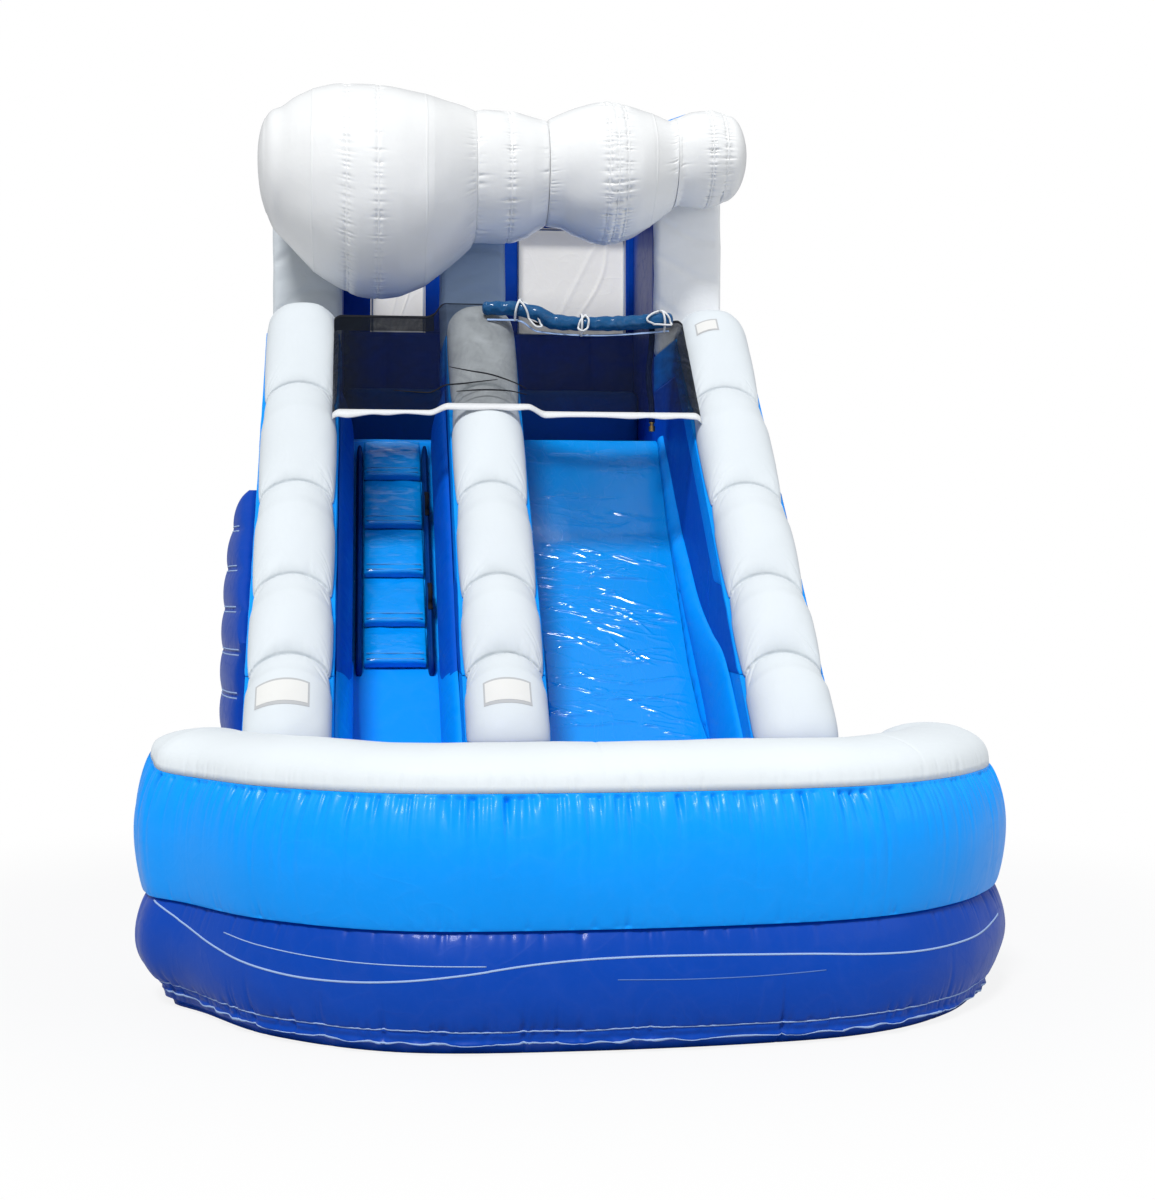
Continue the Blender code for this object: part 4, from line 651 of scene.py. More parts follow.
RIM_COLUMNS = 34
angles = np.linspace(0, math.pi, RIM_COLUMNS)
rim_across = TUBE_WIDTH / 2 - (TUBE_WIDTH / 2 - SEAM_TUCK) * np.cos(angles)
rim_rise = np.sin(angles) ** 0.78
flat_rim = ring_grid(np.stack((rim_across, np.full(RIM_COLUMNS, RIM_SEAM + EASE)), axis=1))
rise = RIM_HEIGHT * ring_share[:, None] ** 0.6 * rim_rise[None, :]
flat_rim[:, :, 2] += rise + seam_rise[:, None] * (1 - rim_rise[None, :])
rim_edge = np.minimum(angles, math.pi - angles) * TUBE_WIDTH / 2
push = puckers(ring_run, rim_edge, 260, 0.050, 0.0030, 0.0085, 11)
push += ripple(flat_rim, [(0.8, 0.003), (0.25, 0.0010)], 12) * np.sin(angles)
# Panels of the rim are joined here and there.
front_join = np.interp(0.09, front_x, front_run)
for join in (front_join - 2.1, front_join, front_join + 1.35):
    push -= 0.003 * bell(ring_run - join, 0.007)[:, None] * np.sin(angles)
rim_out = outward(flat_rim, False)
rim_blown = flat_rim + rim_out * push[:, :, None]
blown("pool_rim_tube", rim_blown, LIT_RIM_VINYL, "white_vinyl", turn=True, node="pool_rim")


def on_ring(grid, section, heights, where):
    """Points and normals on the outer side of a ring at given heights along its run."""
    count = len(section) // 2
    normal = outward(grid)
    points, headings = [], []
    for run, height in zip(where, heights):
        i = int(np.clip(np.searchsorted(ring_run, run), 1, len(ring_run) - 1))
        level = np.interp(height, section[:count, 1], np.arange(count))
        j = int(min(level, count - 2))
        part = level - j
        points.append(grid[i, j] * (1 - part) + grid[i, j + 1] * part)
        headings.append(normal[i, j])
    return np.array(points), np.array(headings)


def ring_line(name, table, width, finish=SEAM_AND_HIGHLIGHT_LINE):
    """A pale sewing line on the lower ring. table holds (x on the front, height) pairs."""
    table = np.array(table)
    runs = np.interp(table[:, 0], front_x, front_run)
    curve = smooth_line(np.stack((runs, table[:, 1]), axis=1), int((runs[-1] - runs[0]) / 0.012))
    points, headings = on_ring(lower, lower_section, curve[:, 1], curve[:, 0])
    ribbon(name, points, headings, width, 0.0012, finish, "royal_vinyl")


ring_line(
    "lower_ring_seam_line",
    [
        (-1.60, 0.425), (-1.44, 0.36), (-1.27, 0.30), (-1.07, 0.262), (-0.86, 0.255), (-0.64, 0.268),
        (-0.42, 0.292), (-0.20, 0.322), (0.0, 0.338), (0.2, 0.344), (0.42, 0.342), (0.64, 0.336),
        (0.86, 0.327), (1.06, 0.312), (1.25, 0.30), (1.45, 0.296), (1.62, 0.305), (1.76, 0.335),
    ],
    0.007,
)
ring_line(
    "lower_ring_second_line",
    [(-1.28, 0.368), (-1.10, 0.343), (-0.86, 0.328), (-0.62, 0.323), (-0.34, 0.321)],
    0.0036,
)
ring_line(
    "lower_ring_third_line",
    [(0.12, 0.268), (0.36, 0.262), (0.62, 0.262), (0.88, 0.270)],
    0.0034,
    FAINT_LINE,
)
steps = np.arange(0.25, ring_run[-1] - 0.25, 0.008)
drift = np.sin(steps * 4.3) * np.sin(steps * 11 + 1)
ruffle_highlight_width = 0.003 + 0.006 * np.abs(np.sin(steps * 19 + 2 * np.sin(steps * 5)))
# The hem's pale sewing line, and a painted highlight of changing width along the ruffle's ridge.
for name, height, wander, width in (
    ("hem_line", HEM_LINE_HEIGHT + 0.004, 0.004, 0.0045),
    ("ruffle_line", RUFFLE_HEIGHT, 0.003, ruffle_highlight_width),
):
    points, headings = on_ring(lower, lower_section, height + wander * drift, steps)
    ribbon("lower_ring_" + name, points, headings, width, 0.0015, SEAM_AND_HIGHLIGHT_LINE, "royal_vinyl")

FLOOR_HEIGHT = 0.047
floor_edge = TUBE_WIDTH - 0.0175
rows = np.linspace(0, 1, 40)
inner = pool_line + pool_inward * floor_edge
inner = inner[::8]
floor_centre = np.stack((inner[:, 0] * 0.35 + 0.1, np.full(len(inner), WALL_FRONT - 0.002)), axis=1)
rows = rows[None, :, None]
floor_flat = inner[:, None, :] * (1 - rows) + floor_centre[:, None, :] * rows
floor_top = np.concatenate((floor_flat, np.full(floor_flat.shape[:2] + (1,), FLOOR_HEIGHT)), axis=2)
floor_top[:, :, 2] += ripple(floor_top, [(0.3, 0.0018), (0.11, 0.001)], 13)
floor_low = floor_top.copy()
floor_low[:, :, 2] = 0.0
floor_grid = np.concatenate((floor_low[:, :1], floor_top, floor_low[:, -1:]), axis=1)
blown("pool_floor_sheet", floor_grid, *LIGHT_SKIN, turn=True, node="pool_floor")


# Walls: royal slabs with light blue feet and bands, blown a little at their faces.
def slab(name, ys, low, high, left, right, finish, slot, swell, node, seed, rows=26):
    """A blown slab between two faces: its bottom and top edges are given along Y."""
    t = close_at_ends(0, 1, rows)
    z = low[:, None] + (high - low)[:, None] * t[None, :]
    y = np.broadcast_to(ys[:, None], z.shape)
    edge = np.minimum(ys - ys[0], ys[-1] - ys)[:, None]
    inside = np.sin(math.pi * t)[None, :] ** 0.6 * np.clip(edge / 0.05, 0, 1) ** 0.5
    faces = []
    for x, way in ((left, -1), (right, 1)):
        face = np.stack((np.full(z.shape, x), y, z), axis=2)
        out = swell * inside + ripple(face, [(0.5, 0.0015), (0.16, 0.0008)], seed) * inside
        from_seam = (high[:, None] - z).mean(axis=0)
        gathers = puckers(ys, from_seam, int(len(ys) * 0.5), 0.05, 0.003, 0.012, seed + way)
        out = out + gathers * inside
        face[:, :, 0] += way * np.minimum(out, swell)
        faces.append(face)
    grid = np.concatenate((faces[0], faces[1][:, ::-1]), axis=1)
    blown(name, grid, finish, slot, node=node, turn=True)


bare_drop = STRIP_DEPTH * math.hypot(1, SEAM_SLOPE)


def royal_top(y):
    """Top of the royal part of a wall, under the light blue band."""
    share = np.clip((y - LENS_START) / LENS_DEPTH, 0, 1)
    return seam_height(y) - (bare_drop + (LENS_DEPTH - bare_drop) * share)


WALLS = (("left", LEFT_OUT, LEFT_IN), ("centre", MID_LEFT, MID_RIGHT), ("right", RIGHT_IN, RIGHT_OUT))
foot_top_y = WALL_FRONT + (FOOT_TOP - FOOT_HEIGHT) / SEAM_SLOPE
bare_foot_y = WALL_FRONT + (FOOT_TOP + bare_drop - FOOT_HEIGHT) / SEAM_SLOPE
for side, left, right in WALLS:
    outer = side != "centre"
    end = UPPER_START if outer else TOWER_FRONT + 0.09
    ys = np.arange(FOOT_END + EASE, end, 0.02)
    low = np.zeros(len(ys))
    if not outer:
        low[ys > PLATFORM_START - 0.02] = PLATFORM_HEIGHT + EASE
    high = royal_top(ys) - EASE
    slab(side + "_wall_blown", ys, low, high, left, right, *LIT_WALL_SKIN, 0.004, side + "_wall", 20)
    ys = np.linspace(bare_foot_y + EASE, FOOT_END, 40)
    low = np.full(len(ys), FOOT_TOP + EASE)
    high = np.maximum(royal_top(ys) - EASE, low)
    slab(side + "_wall_over_foot", ys, low, high, left, right, *LIT_WALL_SKIN, 0.004, "", 21)
    if outer:
        ys = np.arange(UPPER_START, WALL_BACK - EASE, 0.02)
        high = np.full(len(ys), TOWER_TOP)
        slab(side + "_upper_wall", ys, 0 * ys, high, left, right, *ROYAL_SKIN, 0.004, "", 23, 50)
    ys = np.arange(foot_top_y, end - EASE, 0.02)
    low, high = np.maximum(royal_top(ys), FOOT_TOP) + EASE, seam_height(ys) - EASE
    slab(side + "_wall_band", ys, low, high, left, right, *LIGHT_SKIN, 0.005, side + "_wall_trim", 26, 14)
    ys = np.linspace(WALL_FRONT, FOOT_END - EASE, 60)
    high = np.minimum(seam_height(ys), FOOT_TOP) - EASE
    slab(side + "_wall_foot", ys, 0 * ys, high, left, right, *LIGHT_SKIN, 0.006, "", 29, 40)


# Caps: white pillows, pinched by a sewn crease between bumps.
CREASE_SHARES = (0.1507, 0.1756, 0.2244, 0.2634)
creases = [WALL_FRONT]
for share in CREASE_SHARES:
    creases.append(creases[-1] + share * (LEDGE_START - WALL_FRONT))
creases.append(LEDGE_START + (TOWER_FRONT - LEDGE_START) / 3)
CAP_RIM, CAP_PINCH, CAP_INSET, CAP_COLUMNS, FAN_COUNT = 0.012, 0.014, 0.004, 65, 16


def cap_profile(y):
    """Crown and side pinch along a cap."""
    crown = np.full(len(y), CAP_LOW)
    pinch = np.full(len(y), CAP_PINCH)
    for start, end in zip(creases, creases[1:]):
        inside = (y >= start) & (y <= end)
        t = (y[inside] - start) / (end - start)
        swell = np.sin(math.pi * np.clip(t, 0, 1)) ** 0.45
        if start == WALL_FRONT:
            swell = np.where(t < 0.5, 0.7 + 0.3 * rounded_rise(np.minimum(6 * t, 1)), swell)
        # Under the crease above, a bump ends in a flatter strip with drawn-in sides.
        strip = smooth_step(np.clip((t - 0.62) / 0.16, 0, 1))
        crown[inside] = CAP_LOW + (CAP_HIGH - CAP_LOW) * swell * (1 - 0.12 * strip)
        pinch[inside] = CAP_PINCH * (1 - swell) + 0.006 * strip
    return crown, pinch


cap_y = np.concatenate(
    (
        WALL_FRONT + 0.06 * (1 - np.cos(np.linspace(0, math.pi / 2, 22))),
        np.arange(0.163, LEDGE_START - 0.004, 0.0027),
        np.arange(LEDGE_START, TOWER_FRONT - 0.002, 0.0050),
        [TOWER_FRONT - EASE],
    )
)


def fans(run, edge, seams, seed):
    """Fine wrinkles that fan out over a cap from both ends of each crease."""
    rng = np.random.default_rng(seed)
    total = np.zeros((len(run), len(edge)))
    half = len(edge) // 2
    for seam in seams:
        for side in (slice(0, half), slice(half, len(edge))):
            away = edge[side]
            for _ in range(FAN_COUNT):
                start, lean = seam + rng.uniform(-0.17, 0.03), rng.uniform(0.25, 0.95)
                line = np.abs(run[:, None] - start - lean * away[None, :])
                near = (line < 0.03).any(axis=1)
                wrinkle = bell(line[near], rng.uniform(0.005, 0.009))
                fade = bell(away, rng.uniform(0.09, 0.21), 4) * (1 - bell(away, 0.04))
                total[near, side] -= rng.uniform(0.0010, 0.0034) * wrinkle * fade[None, :]
    return total


def cap(side, left, right, seed):
    """A cap over one wall. Returns its grid of points, for the patch that is sewn to it."""
    crown, pinch = cap_profile(cap_y)
    slope = np.clip((LEDGE_START + 0.02 - cap_y) / 0.04, 0, 1) * SEAM_SLOPE
    half = (right - left) / 2 - CAP_INSET - pinch
    angles = np.linspace(0, math.pi, CAP_COLUMNS)
    x = (left + right) / 2 + half[:, None] * np.cos(angles)
    out = CAP_RIM / 2 + (crown[:, None] - CAP_RIM / 2) * np.sin(angles) ** 0.78
    # The creases bow: a cap's sides lie a little further down than its middle.
    hold = np.clip((cap_y - WALL_FRONT) / 0.25, 0, 1) * np.clip((2.65 - cap_y) / 0.3, 0, 1)
    base_y = cap_y[:, None] - 0.050 * hold[:, None] * np.cos(angles) ** 2
    # At the pool the cap turns over the wall's front and hangs down it.
    over_front = np.clip(1 - (cap_y - WALL_FRONT) / 0.13, 0, 1) ** 1.5
    turn = np.arctan(slope) + (math.pi / 2 - np.arctan(slope)) * over_front
    y = np.minimum(base_y - np.sin(turn)[:, None] * out, TOWER_FRONT - EASE)
    z = seam_height(base_y) + EASE + out * np.cos(turn)[:, None]
    grid = np.stack((x, y, z), axis=2)
    run = run_of(np.stack((cap_y, seam_height(cap_y)), axis=1))
    edge = np.minimum(angles, math.pi - angles) * 0.19
    push = puckers(run, edge, 70, 0.028, 0.0022, 0.0080, seed)
    ring_arc = (angles - math.pi / 2) * 0.21
    crease_runs = [np.interp(crease, cap_y, run) for crease in creases[1:]]
    for number, crease_run in enumerate(crease_runs):
        away = crease_run - run
        push += puckers(ring_arc, away, 26, 0.040, 0.0026, 0.0060, seed + 40 + number).T
        push -= (0.0060 * bell(away, 0.0045))[:, None]
    push += fans(run, edge, crease_runs, seed + 9)
    push += ripple(grid, [(0.35, 0.002), (0.12, 0.0006)], seed + 3) * np.sin(angles)
    push *= np.clip(edge / 0.02, 0, 1)
    normal = outward(grid, False)
    if normal[len(cap_y) // 2, CAP_COLUMNS // 2, 2] < 0:
        normal = -normal
    grid = grid + normal * push[:, :, None]
    grid[:, :, 1] = np.minimum(grid[:, :, 1], TOWER_FRONT - EASE)
    blown(side + "_cap_pillow", grid, *WHITE_SKIN, fill=0.95, node=side + "_cap")
    return grid


# A blank sewn patch: on the lowest bump, or high up on the right cap. Each row holds its place along
# the cap and its columns of the cap's grid.
PATCH_PLACES = {
    "left": (0.175, 0.265, 21, 49), "centre": (0.175, 0.265, 20, 46), "right": (2.05, 2.13, 31, 46),
}
PATCH_LAYERS = (("patch_border", 0.0012, 0, PATCH_BORDER), ("blank_patch", 0.0020, 1, BLANK_PATCH))
for (side, left, right), seed in zip(WALLS, (60, 160, 260)):
    cap_grid = cap(side, left, right, seed)
    low, high, first, last = PATCH_PLACES[side]
    part = cap_grid[(cap_y > low) & (cap_y < high)][::3, first:last]
    normal = outward(part, False)
    if normal[2, 4, 2] < 0:
        normal = -normal
    for name, lift, inset, finish in PATCH_LAYERS:
        keep = (slice(inset, len(part) - inset), slice(inset, part.shape[1] - inset))
        raised = part[keep] + normal[keep] * lift
        blown(side + "_" + name, raised, finish, "white_vinyl", loop=False, ends=False)


# Beds, the loose sheet in the sliding lane, its bolsters and the platform.
def bed(name, left, right, node, seed):
    """A lane's sloping bed, 0.30 m thick, with its toe on the ground."""
    ys = np.linspace(WALL_FRONT, PLATFORM_START - EASE, 120)
    x = np.linspace(left + EASE, right - EASE, 40)
    top = np.stack(np.broadcast_arrays(x[None, :], ys[:, None], bed_height(ys)[:, None]), axis=2)
    top[:, :, 2] += ripple(top, [(0.2, 0.001)], seed) - 0.001
    toe = np.maximum(bed_height(ys) - 0.30 / math.cos(BED_ANGLE), 0.0)
    under = top[:, [-1, 0]].copy()
    under[:, :, 2] = toe[:, None]
    grid = np.concatenate((top, under), axis=1)
    blown(name, grid, *LIGHT_SKIN, turn=True, node=node)


bed("climb_bed_blown", LEFT_IN, MID_LEFT, "climb_bed", 301)
bed("slide_bed_blown", MID_RIGHT, RIGHT_IN, "slide_bed", 302)

BOLSTER_START = 0.95
BOLSTER_WIDTH, BOLSTER_HEIGHT = 0.12 * 0.7, 0.12 * 0.55
BOLSTER_PLACE_SHARES = (0.0, 0.03, 0.10, 0.25, 0.45, 0.7, 1.0)
BOLSTER_WIDTH_SHARES = (0.2, 0.6, 0.86, 1.0, 0.88, 0.75, 0.38)


def bolster_share(along):
    """How full the bolsters are along the bed; none at the pool."""
    shares = (along - BOLSTER_START) / (BED_LENGTH - BOLSTER_START)
    full = np.interp(shares, BOLSTER_PLACE_SHARES, BOLSTER_WIDTH_SHARES)
    return np.where(shares < 0, 0.0, full)


cover_along = np.linspace(0.0005, BED_LENGTH - 0.0005, 900)
near_bolster = np.maximum.reduce([bolster_share(cover_along + shift) for shift in (0.0, 0.04, -0.04)])
cover_edge = 0.0045 + BOLSTER_WIDTH * near_bolster
averaged_edge = np.convolve(np.pad(cover_edge, 10, "edge"), np.ones(21) / 21, "valid")
cover_edge = np.maximum(cover_edge, averaged_edge)
cover_across = np.linspace(0, 1, 150)
cover_x = MID_RIGHT + cover_edge[:, None] + (RIGHT_IN - MID_RIGHT - 2 * cover_edge[:, None]) * cover_across
cover = on_slope(cover_x, cover_along[:, None], 0.0025)
rng = np.random.default_rng(77)
folds = np.zeros(cover.shape[:2])
FOLD_PLACES = (
    (0.22, 2.37), (0.40, 2.34), (0.57, 2.28), (0.19, 2.16), (0.47, 2.01), (0.41, 1.91), (0.66, 1.87),
    (0.20, 1.74), (0.58, 1.63), (0.30, 1.48), (0.36, 1.38), (0.55, 1.31), (0.20, 1.22), (0.63, 1.17),
    (0.28, 2.84), (0.53, 2.67), (0.71, 3.10), (0.42, 3.23), (0.73, 2.47), (0.21, 1.96),
)
FOLD_COUNT = 230
for number in range(FOLD_COUNT):
    # Long sharp folds in clusters, most of them lying across the lane and sloping a little.
    middle = FOLD_PLACES[number % len(FOLD_PLACES)]
    at = np.array((rng.normal(middle[0], 0.10), rng.normal(middle[1], 0.055)))
    heading = rng.normal(-0.16, 0.20)
    length, wide = rng.uniform(0.025, 0.15), rng.uniform(0.0055, 0.0105)
    dx, dl = cover_x - at[0], cover_along[:, None] - at[1]
    along = dx * math.cos(heading) + dl * math.sin(heading)
    bend = rng.uniform(-1.2, 1.2) * along**2 + 0.004 * np.sin(along * 34 + number)
    across = -dx * math.sin(heading) + dl * math.cos(heading) + bend
    deep = rng.uniform(0.002, 0.0075) * (0.45 if middle[1] > 2.4 else 1.0)
    folds += deep * np.exp(-((along / length) ** 4) - (across / wide) ** 2)
edge = np.minimum(cover_x - cover_x[:, :1], cover_x[:, -1:] - cover_x) / 0.05
folds = np.minimum(folds, 0.012) * np.clip(edge, 0.0, 1) ** 0.5
folds += 0.0014 + ripple(cover, [(0.35, 0.0011)], 78)
off_bed = np.array((0, -math.sin(BED_ANGLE), math.cos(BED_ANGLE)))
cover_grid = cover + off_bed * np.maximum(folds, 0)[:, :, None]
cover_piece = blown(
    "slide_sheet", cover_grid, BED_VINYL, "bed_sheet", loop=False, ends=False, turn=True, node="slide_cover",
)


def bolster(name, wall, inward, node, seed):
    """Quarter-round between bed and wall, widest in the middle of the lane."""
    along = close_at_ends(BOLSTER_START, BED_LENGTH - EASE, 260)
    share = bolster_share(along)
    share[1:-1] = evened(share, 17)[1:-1]
    angles = np.linspace(0, math.pi / 2, 24)
    height = BOLSTER_HEIGHT * (0.4 + 0.6 * share)
    width = BOLSTER_WIDTH * share[:, None] * np.cos(angles)
    out = EASE + height[:, None] * (0.04 + 0.96 * np.sin(angles))
    push = puckers(along, angles * 0.1, 90, 0.05, 0.004, 0.012, seed)
    push += puckers(along, (math.pi / 2 - angles) * 0.1, 90, 0.05, 0.004, 0.012, seed + 1)
    width = EASE + width + np.minimum(push, 0) * np.cos(angles)
    grid = on_slope(wall + inward * width, along[:, None], out)
    corner = on_slope(np.full(len(along), wall + inward * EASE), along, EASE)
    grid = np.concatenate((grid, corner[:, None]), axis=1)
    blown(name, grid, *LIGHT_SKIN, turn=inward > 0, fill=0.95, node=node)


bolster("left_lane_bolster", MID_RIGHT, 1, "slide_bolster_left", 310)
bolster("right_lane_bolster", RIGHT_IN, -1, "slide_bolster_right", 320)


def lane_side(name, wall, inward, low, high, depth, reach, finish, slot, seed):
    """A wall's face where it swells into a lane. reach holds (along, height off the bed) pairs."""
    along = close_at_ends(low, high, 220)
    reach = smooth_line(reach, 60)
    height = np.interp(along, reach[:, 0], reach[:, 1])
    ends = np.minimum(along - low, high - along) / 0.12
    full = rounded_rise(np.clip(ends, 0, 1), 0.003)
    level = np.linspace(0, 1, 34)
    width = depth * full[:, None] * np.sin(math.pi * (0.12 + 0.88 * level)) ** 0.55
    push = puckers(along, (1 - level) * 0.4, 60, 0.06, 0.006, 0.012, seed) * full[:, None]
    out = 0.004 + height[:, None] * level
    width = 0.007 + np.maximum(width + push * width / depth, 0)
    grid = on_slope(wall + inward * width, along[:, None], out)
    back = on_slope(wall + inward * 0.0045, along[:, None], out[:, ::-1])
    blown(name, np.concatenate((grid, back), axis=1), finish, slot, turn=inward > 0)


UP = BED_LENGTH - 0.16
CLIMB_SIDE = ((1.0, 0.36), (1.6, 0.37), (2.4, 0.42), (UP, 0.45))
CLIMB_FOOT = ((0.0, 0.44), (0.7, 0.43), (1.15, 0.36), (1.4, 0.20), (1.62, 0.02))
SLIDE_FOOT = ((0.0, 0.44), (0.8, 0.44), (1.2, 0.40), (1.5, 0.27), (1.85, 0.15), (2.2, 0.10), (2.5, 0.06))
for name, wall, inward, seed in (("left", LEFT_IN, 1, 331), ("centre", MID_LEFT, -1, 335)):
    lane_side("climb_side_" + name, wall, inward, 1.0, UP, 0.068, CLIMB_SIDE, *LIT_WALL_SKIN, seed)
    lane_side("climb_foot_" + name, wall, inward, 0.04, 1.62, 0.074, CLIMB_FOOT, *LIGHT_SKIN, seed + 2)
lane_side("slide_foot_right", RIGHT_IN, -1, 0.04, 2.5, 0.060, SLIDE_FOOT, *LIGHT_SKIN, 339)


def rounded_box(name, low, high, radius, finish, slot, node, swell=0.0, seed=5, pitch=0.035):
    """A pillow with round edges between two corners, denser than the model's."""
    low, high = np.array(low, float), np.array(high, float)
    size = high - low
    count = np.maximum((size / pitch).astype(int), 4)
    points, faces, base = [], [], 0
    for axis in range(3):
        a, b = [k for k in range(3) if k != axis]
        for end in (0, 1):
            u, v = np.linspace(0, 1, count[a] + 1), np.linspace(0, 1, count[b] + 1)
            uu, vv = np.meshgrid(u, v, indexing="ij")
            spots = np.zeros(uu.shape + (3,))
            spots[..., a], spots[..., b] = low[a] + size[a] * uu, low[b] + size[b] * vv
            spots[..., axis] = low[axis] if end == 0 else high[axis]
            core = np.clip(spots, low + radius, high - radius)
            off = spots - core
            reach = np.linalg.norm(off, axis=-1, keepdims=True)
            round_spots = core + off / np.maximum(reach, 1e-9) * np.minimum(reach, radius)
            bump = swell * (1 - np.abs(2 * uu - 1) ** 4.0) * (1 - np.abs(2 * vv - 1) ** 4.0)
            dents = ripple(round_spots, [(0.4, 0.002), (0.15, 0.001)], seed)
            bump += dents * np.minimum(bump / (swell + 1e-9), 1)
            round_spots[..., axis] += (1 if end else -1) * bump
            rows, columns = uu.shape
            quads = np.array(grid_faces(rows, columns, False, False)) + base
            flip = (end == 0) == (axis != 1)
            faces += (quads if flip else quads[:, ::-1]).tolist()
            points.append(round_spots.reshape(-1, 3))
            base += rows * columns
    made = smooth_mesh(name, np.vstack(points), faces, finish, slot, node=node)
    weld = made.modifiers.new("weld", "WELD")
    weld.merge_threshold = 0.0002
    return made


rounded_box(
    "platform_floor_blown", (LEFT_IN + EASE, PLATFORM_START + EASE, PLATFORM_HEIGHT - 0.40),
    (RIGHT_IN - EASE, WALL_BACK - EASE, PLATFORM_HEIGHT - 0.002), 0.01, *LIGHT_SKIN, "platform_floor",
)
# The back pad is painted dark blue for the shade it lies in.
back_pad = rounded_box(
    "platform_back_pad", (LEFT_IN + 0.001, WALL_BACK - 0.28, PLATFORM_HEIGHT + EASE),
    (RIGHT_IN - 0.001, WALL_BACK - EASE, PLATFORM_HEIGHT + 0.385), 0.05, SHADED_PAD_VINYL, "light_blue_vinyl",
    "platform_bolster", 0.004, 41,
)

# Climbing steps, rails and handles.
STEP_SHARES = (0.1598, 0.2048, 0.2142, 0.227, 0.1942)
STEPS_START, STEPS_RUN, STEP_WIDTH = 1.535, 1.80, 0.30
STEP_LEFT = (LEFT_IN + MID_LEFT - STEP_WIDTH) / 2
STEP_RIGHT = STEP_LEFT + STEP_WIDTH
STEP_LIP, STEP_BACK, STEP_FRONT = 0.0275, 0.007, 0.055  # the lip's radius, the deck's heights
RAIL_GAP, RAIL_HEIGHT, RAIL_HALF = 0.0253, 0.09, 0.018
STRAP_HALF, STRAP_THICK = 0.011, 0.003
start = STEPS_START
for number, share in enumerate(STEP_SHARES, 1):
    depth = share * STEPS_RUN
    turns = np.linspace(-math.pi / 2, math.pi / 2, 26)
    lip_along = STEP_LIP - STEP_LIP * np.cos(turns) ** 0.55
    lip_out = STEP_LIP + STEP_LIP * np.sign(turns) * np.abs(np.sin(turns)) ** 0.7
    deck = np.linspace(STEP_LIP, depth - EASE, 46)[1:]
    deck_share = (deck - STEP_LIP) / (depth - STEP_LIP)
    deck_out = STEP_FRONT + (STEP_BACK - STEP_FRONT) * deck_share**1.7 - 0.006 * bell(deck - 0.062, 0.009)
    along = np.concatenate((lip_along, deck))
    out = np.concatenate((lip_out, deck_out)) + EASE
    x = np.linspace(STEP_LEFT, STEP_RIGHT, 56)
    sides = 1 - 0.25 * np.abs(2 * (x - STEP_LEFT) / STEP_WIDTH - 1) ** 6
    grid = on_slope(x[:, None], start + along[None, :], out[None, :] * sides[:, None])
    wrinkle = ripple(grid * np.array((1.0, 2.2, 2.2)), [(0.16, 0.0022), (0.07, 0.0005)], 400 + number)
    grid += off_bed * np.where(along > STEP_LIP, wrinkle, wrinkle * 0.4)[:, :, None]
    base = on_slope(x[:, None], start + np.array((depth - EASE, 0.0))[None, :], EASE)
    grid = np.concatenate((grid, base), axis=1)
    name, node = "climb_step_pad_%d" % number, "climb_step_%d" % number
    blown(name, grid, STEP_VINYL, "light_blue_vinyl", turn=True, fill=0.8, node=node)
    # Painted highlights along the lip's upper and lower edges.
    for place, (spot, off) in enumerate(((0.016, 0.0530), (0.054, 0.0525))):
        x = np.linspace(STEP_LEFT + 0.012, STEP_RIGHT - 0.012, 24)
        edge = on_slope(x, start + spot, off + EASE)
        name = "climb_step_edge_%d_%d" % (number, place)
        ribbon(name, edge, off_bed, 0.005, 0.0022, LIP_HIGHLIGHT_LINE, "light_blue_vinyl")
    start += depth

for name, middle in (("left", STEP_LEFT - RAIL_GAP), ("right", STEP_RIGHT + RAIL_GAP)):
    along = close_at_ends(STEPS_START - 0.05, STEPS_START + STEPS_RUN - 0.10, 120)
    ends = np.minimum(along - along[0], along[-1] - along)
    share = rounded_rise(np.clip(ends / 0.06, 0, 1), 0.02)
    angles = np.linspace(0, math.pi, 18)
    x = middle + RAIL_HALF * (0.4 + 0.6 * share[:, None]) * np.cos(angles)
    out = EASE + RAIL_HEIGHT * share[:, None] * np.sin(angles)
    grid = on_slope(x, along[:, None], out)
    push = puckers(along, angles * 0.05, 90, 0.03, 0.0025, 0.007, 430)
    grid[:, :, 0] += push * np.cos(angles)
    node = "climb_rail_" + name
    blown(node + "_tube", grid, NAVY_VINYL, "navy_vinyl", turn=True, fill=0.9, node=node)

for number, share in enumerate((0.236, 0.64), 1):
    centre = STEPS_START + share * STEPS_RUN
    seat = RAIL_HEIGHT + 0.0015
    line = [(centre + 0.097, 0.0), (centre + 0.070, 0.001)]
    for angle in np.linspace(0.12, math.pi - 0.12, 13):
        line.append((centre + 0.060 * math.cos(angle), 0.006 + 0.049 * math.sin(angle)))
    line += [(centre - 0.070, 0.001), (centre - 0.097, 0.0)]
    line = smooth_line(line, 60)
    rows = []
    for across, thick in (
        (-STRAP_HALF, 0.0), (STRAP_HALF, 0.0), (STRAP_HALF, STRAP_THICK), (-STRAP_HALF, STRAP_THICK),
    ):
        rows.append(on_slope(STEP_RIGHT + RAIL_GAP + across, line[:, 0], seat + line[:, 1] + thick))
    name, node = "climb_handle_strap_%d" % number, "climb_handle_%d" % number
    blown(name, np.stack(rows, 1), *BLACK_SKIN, node=node)

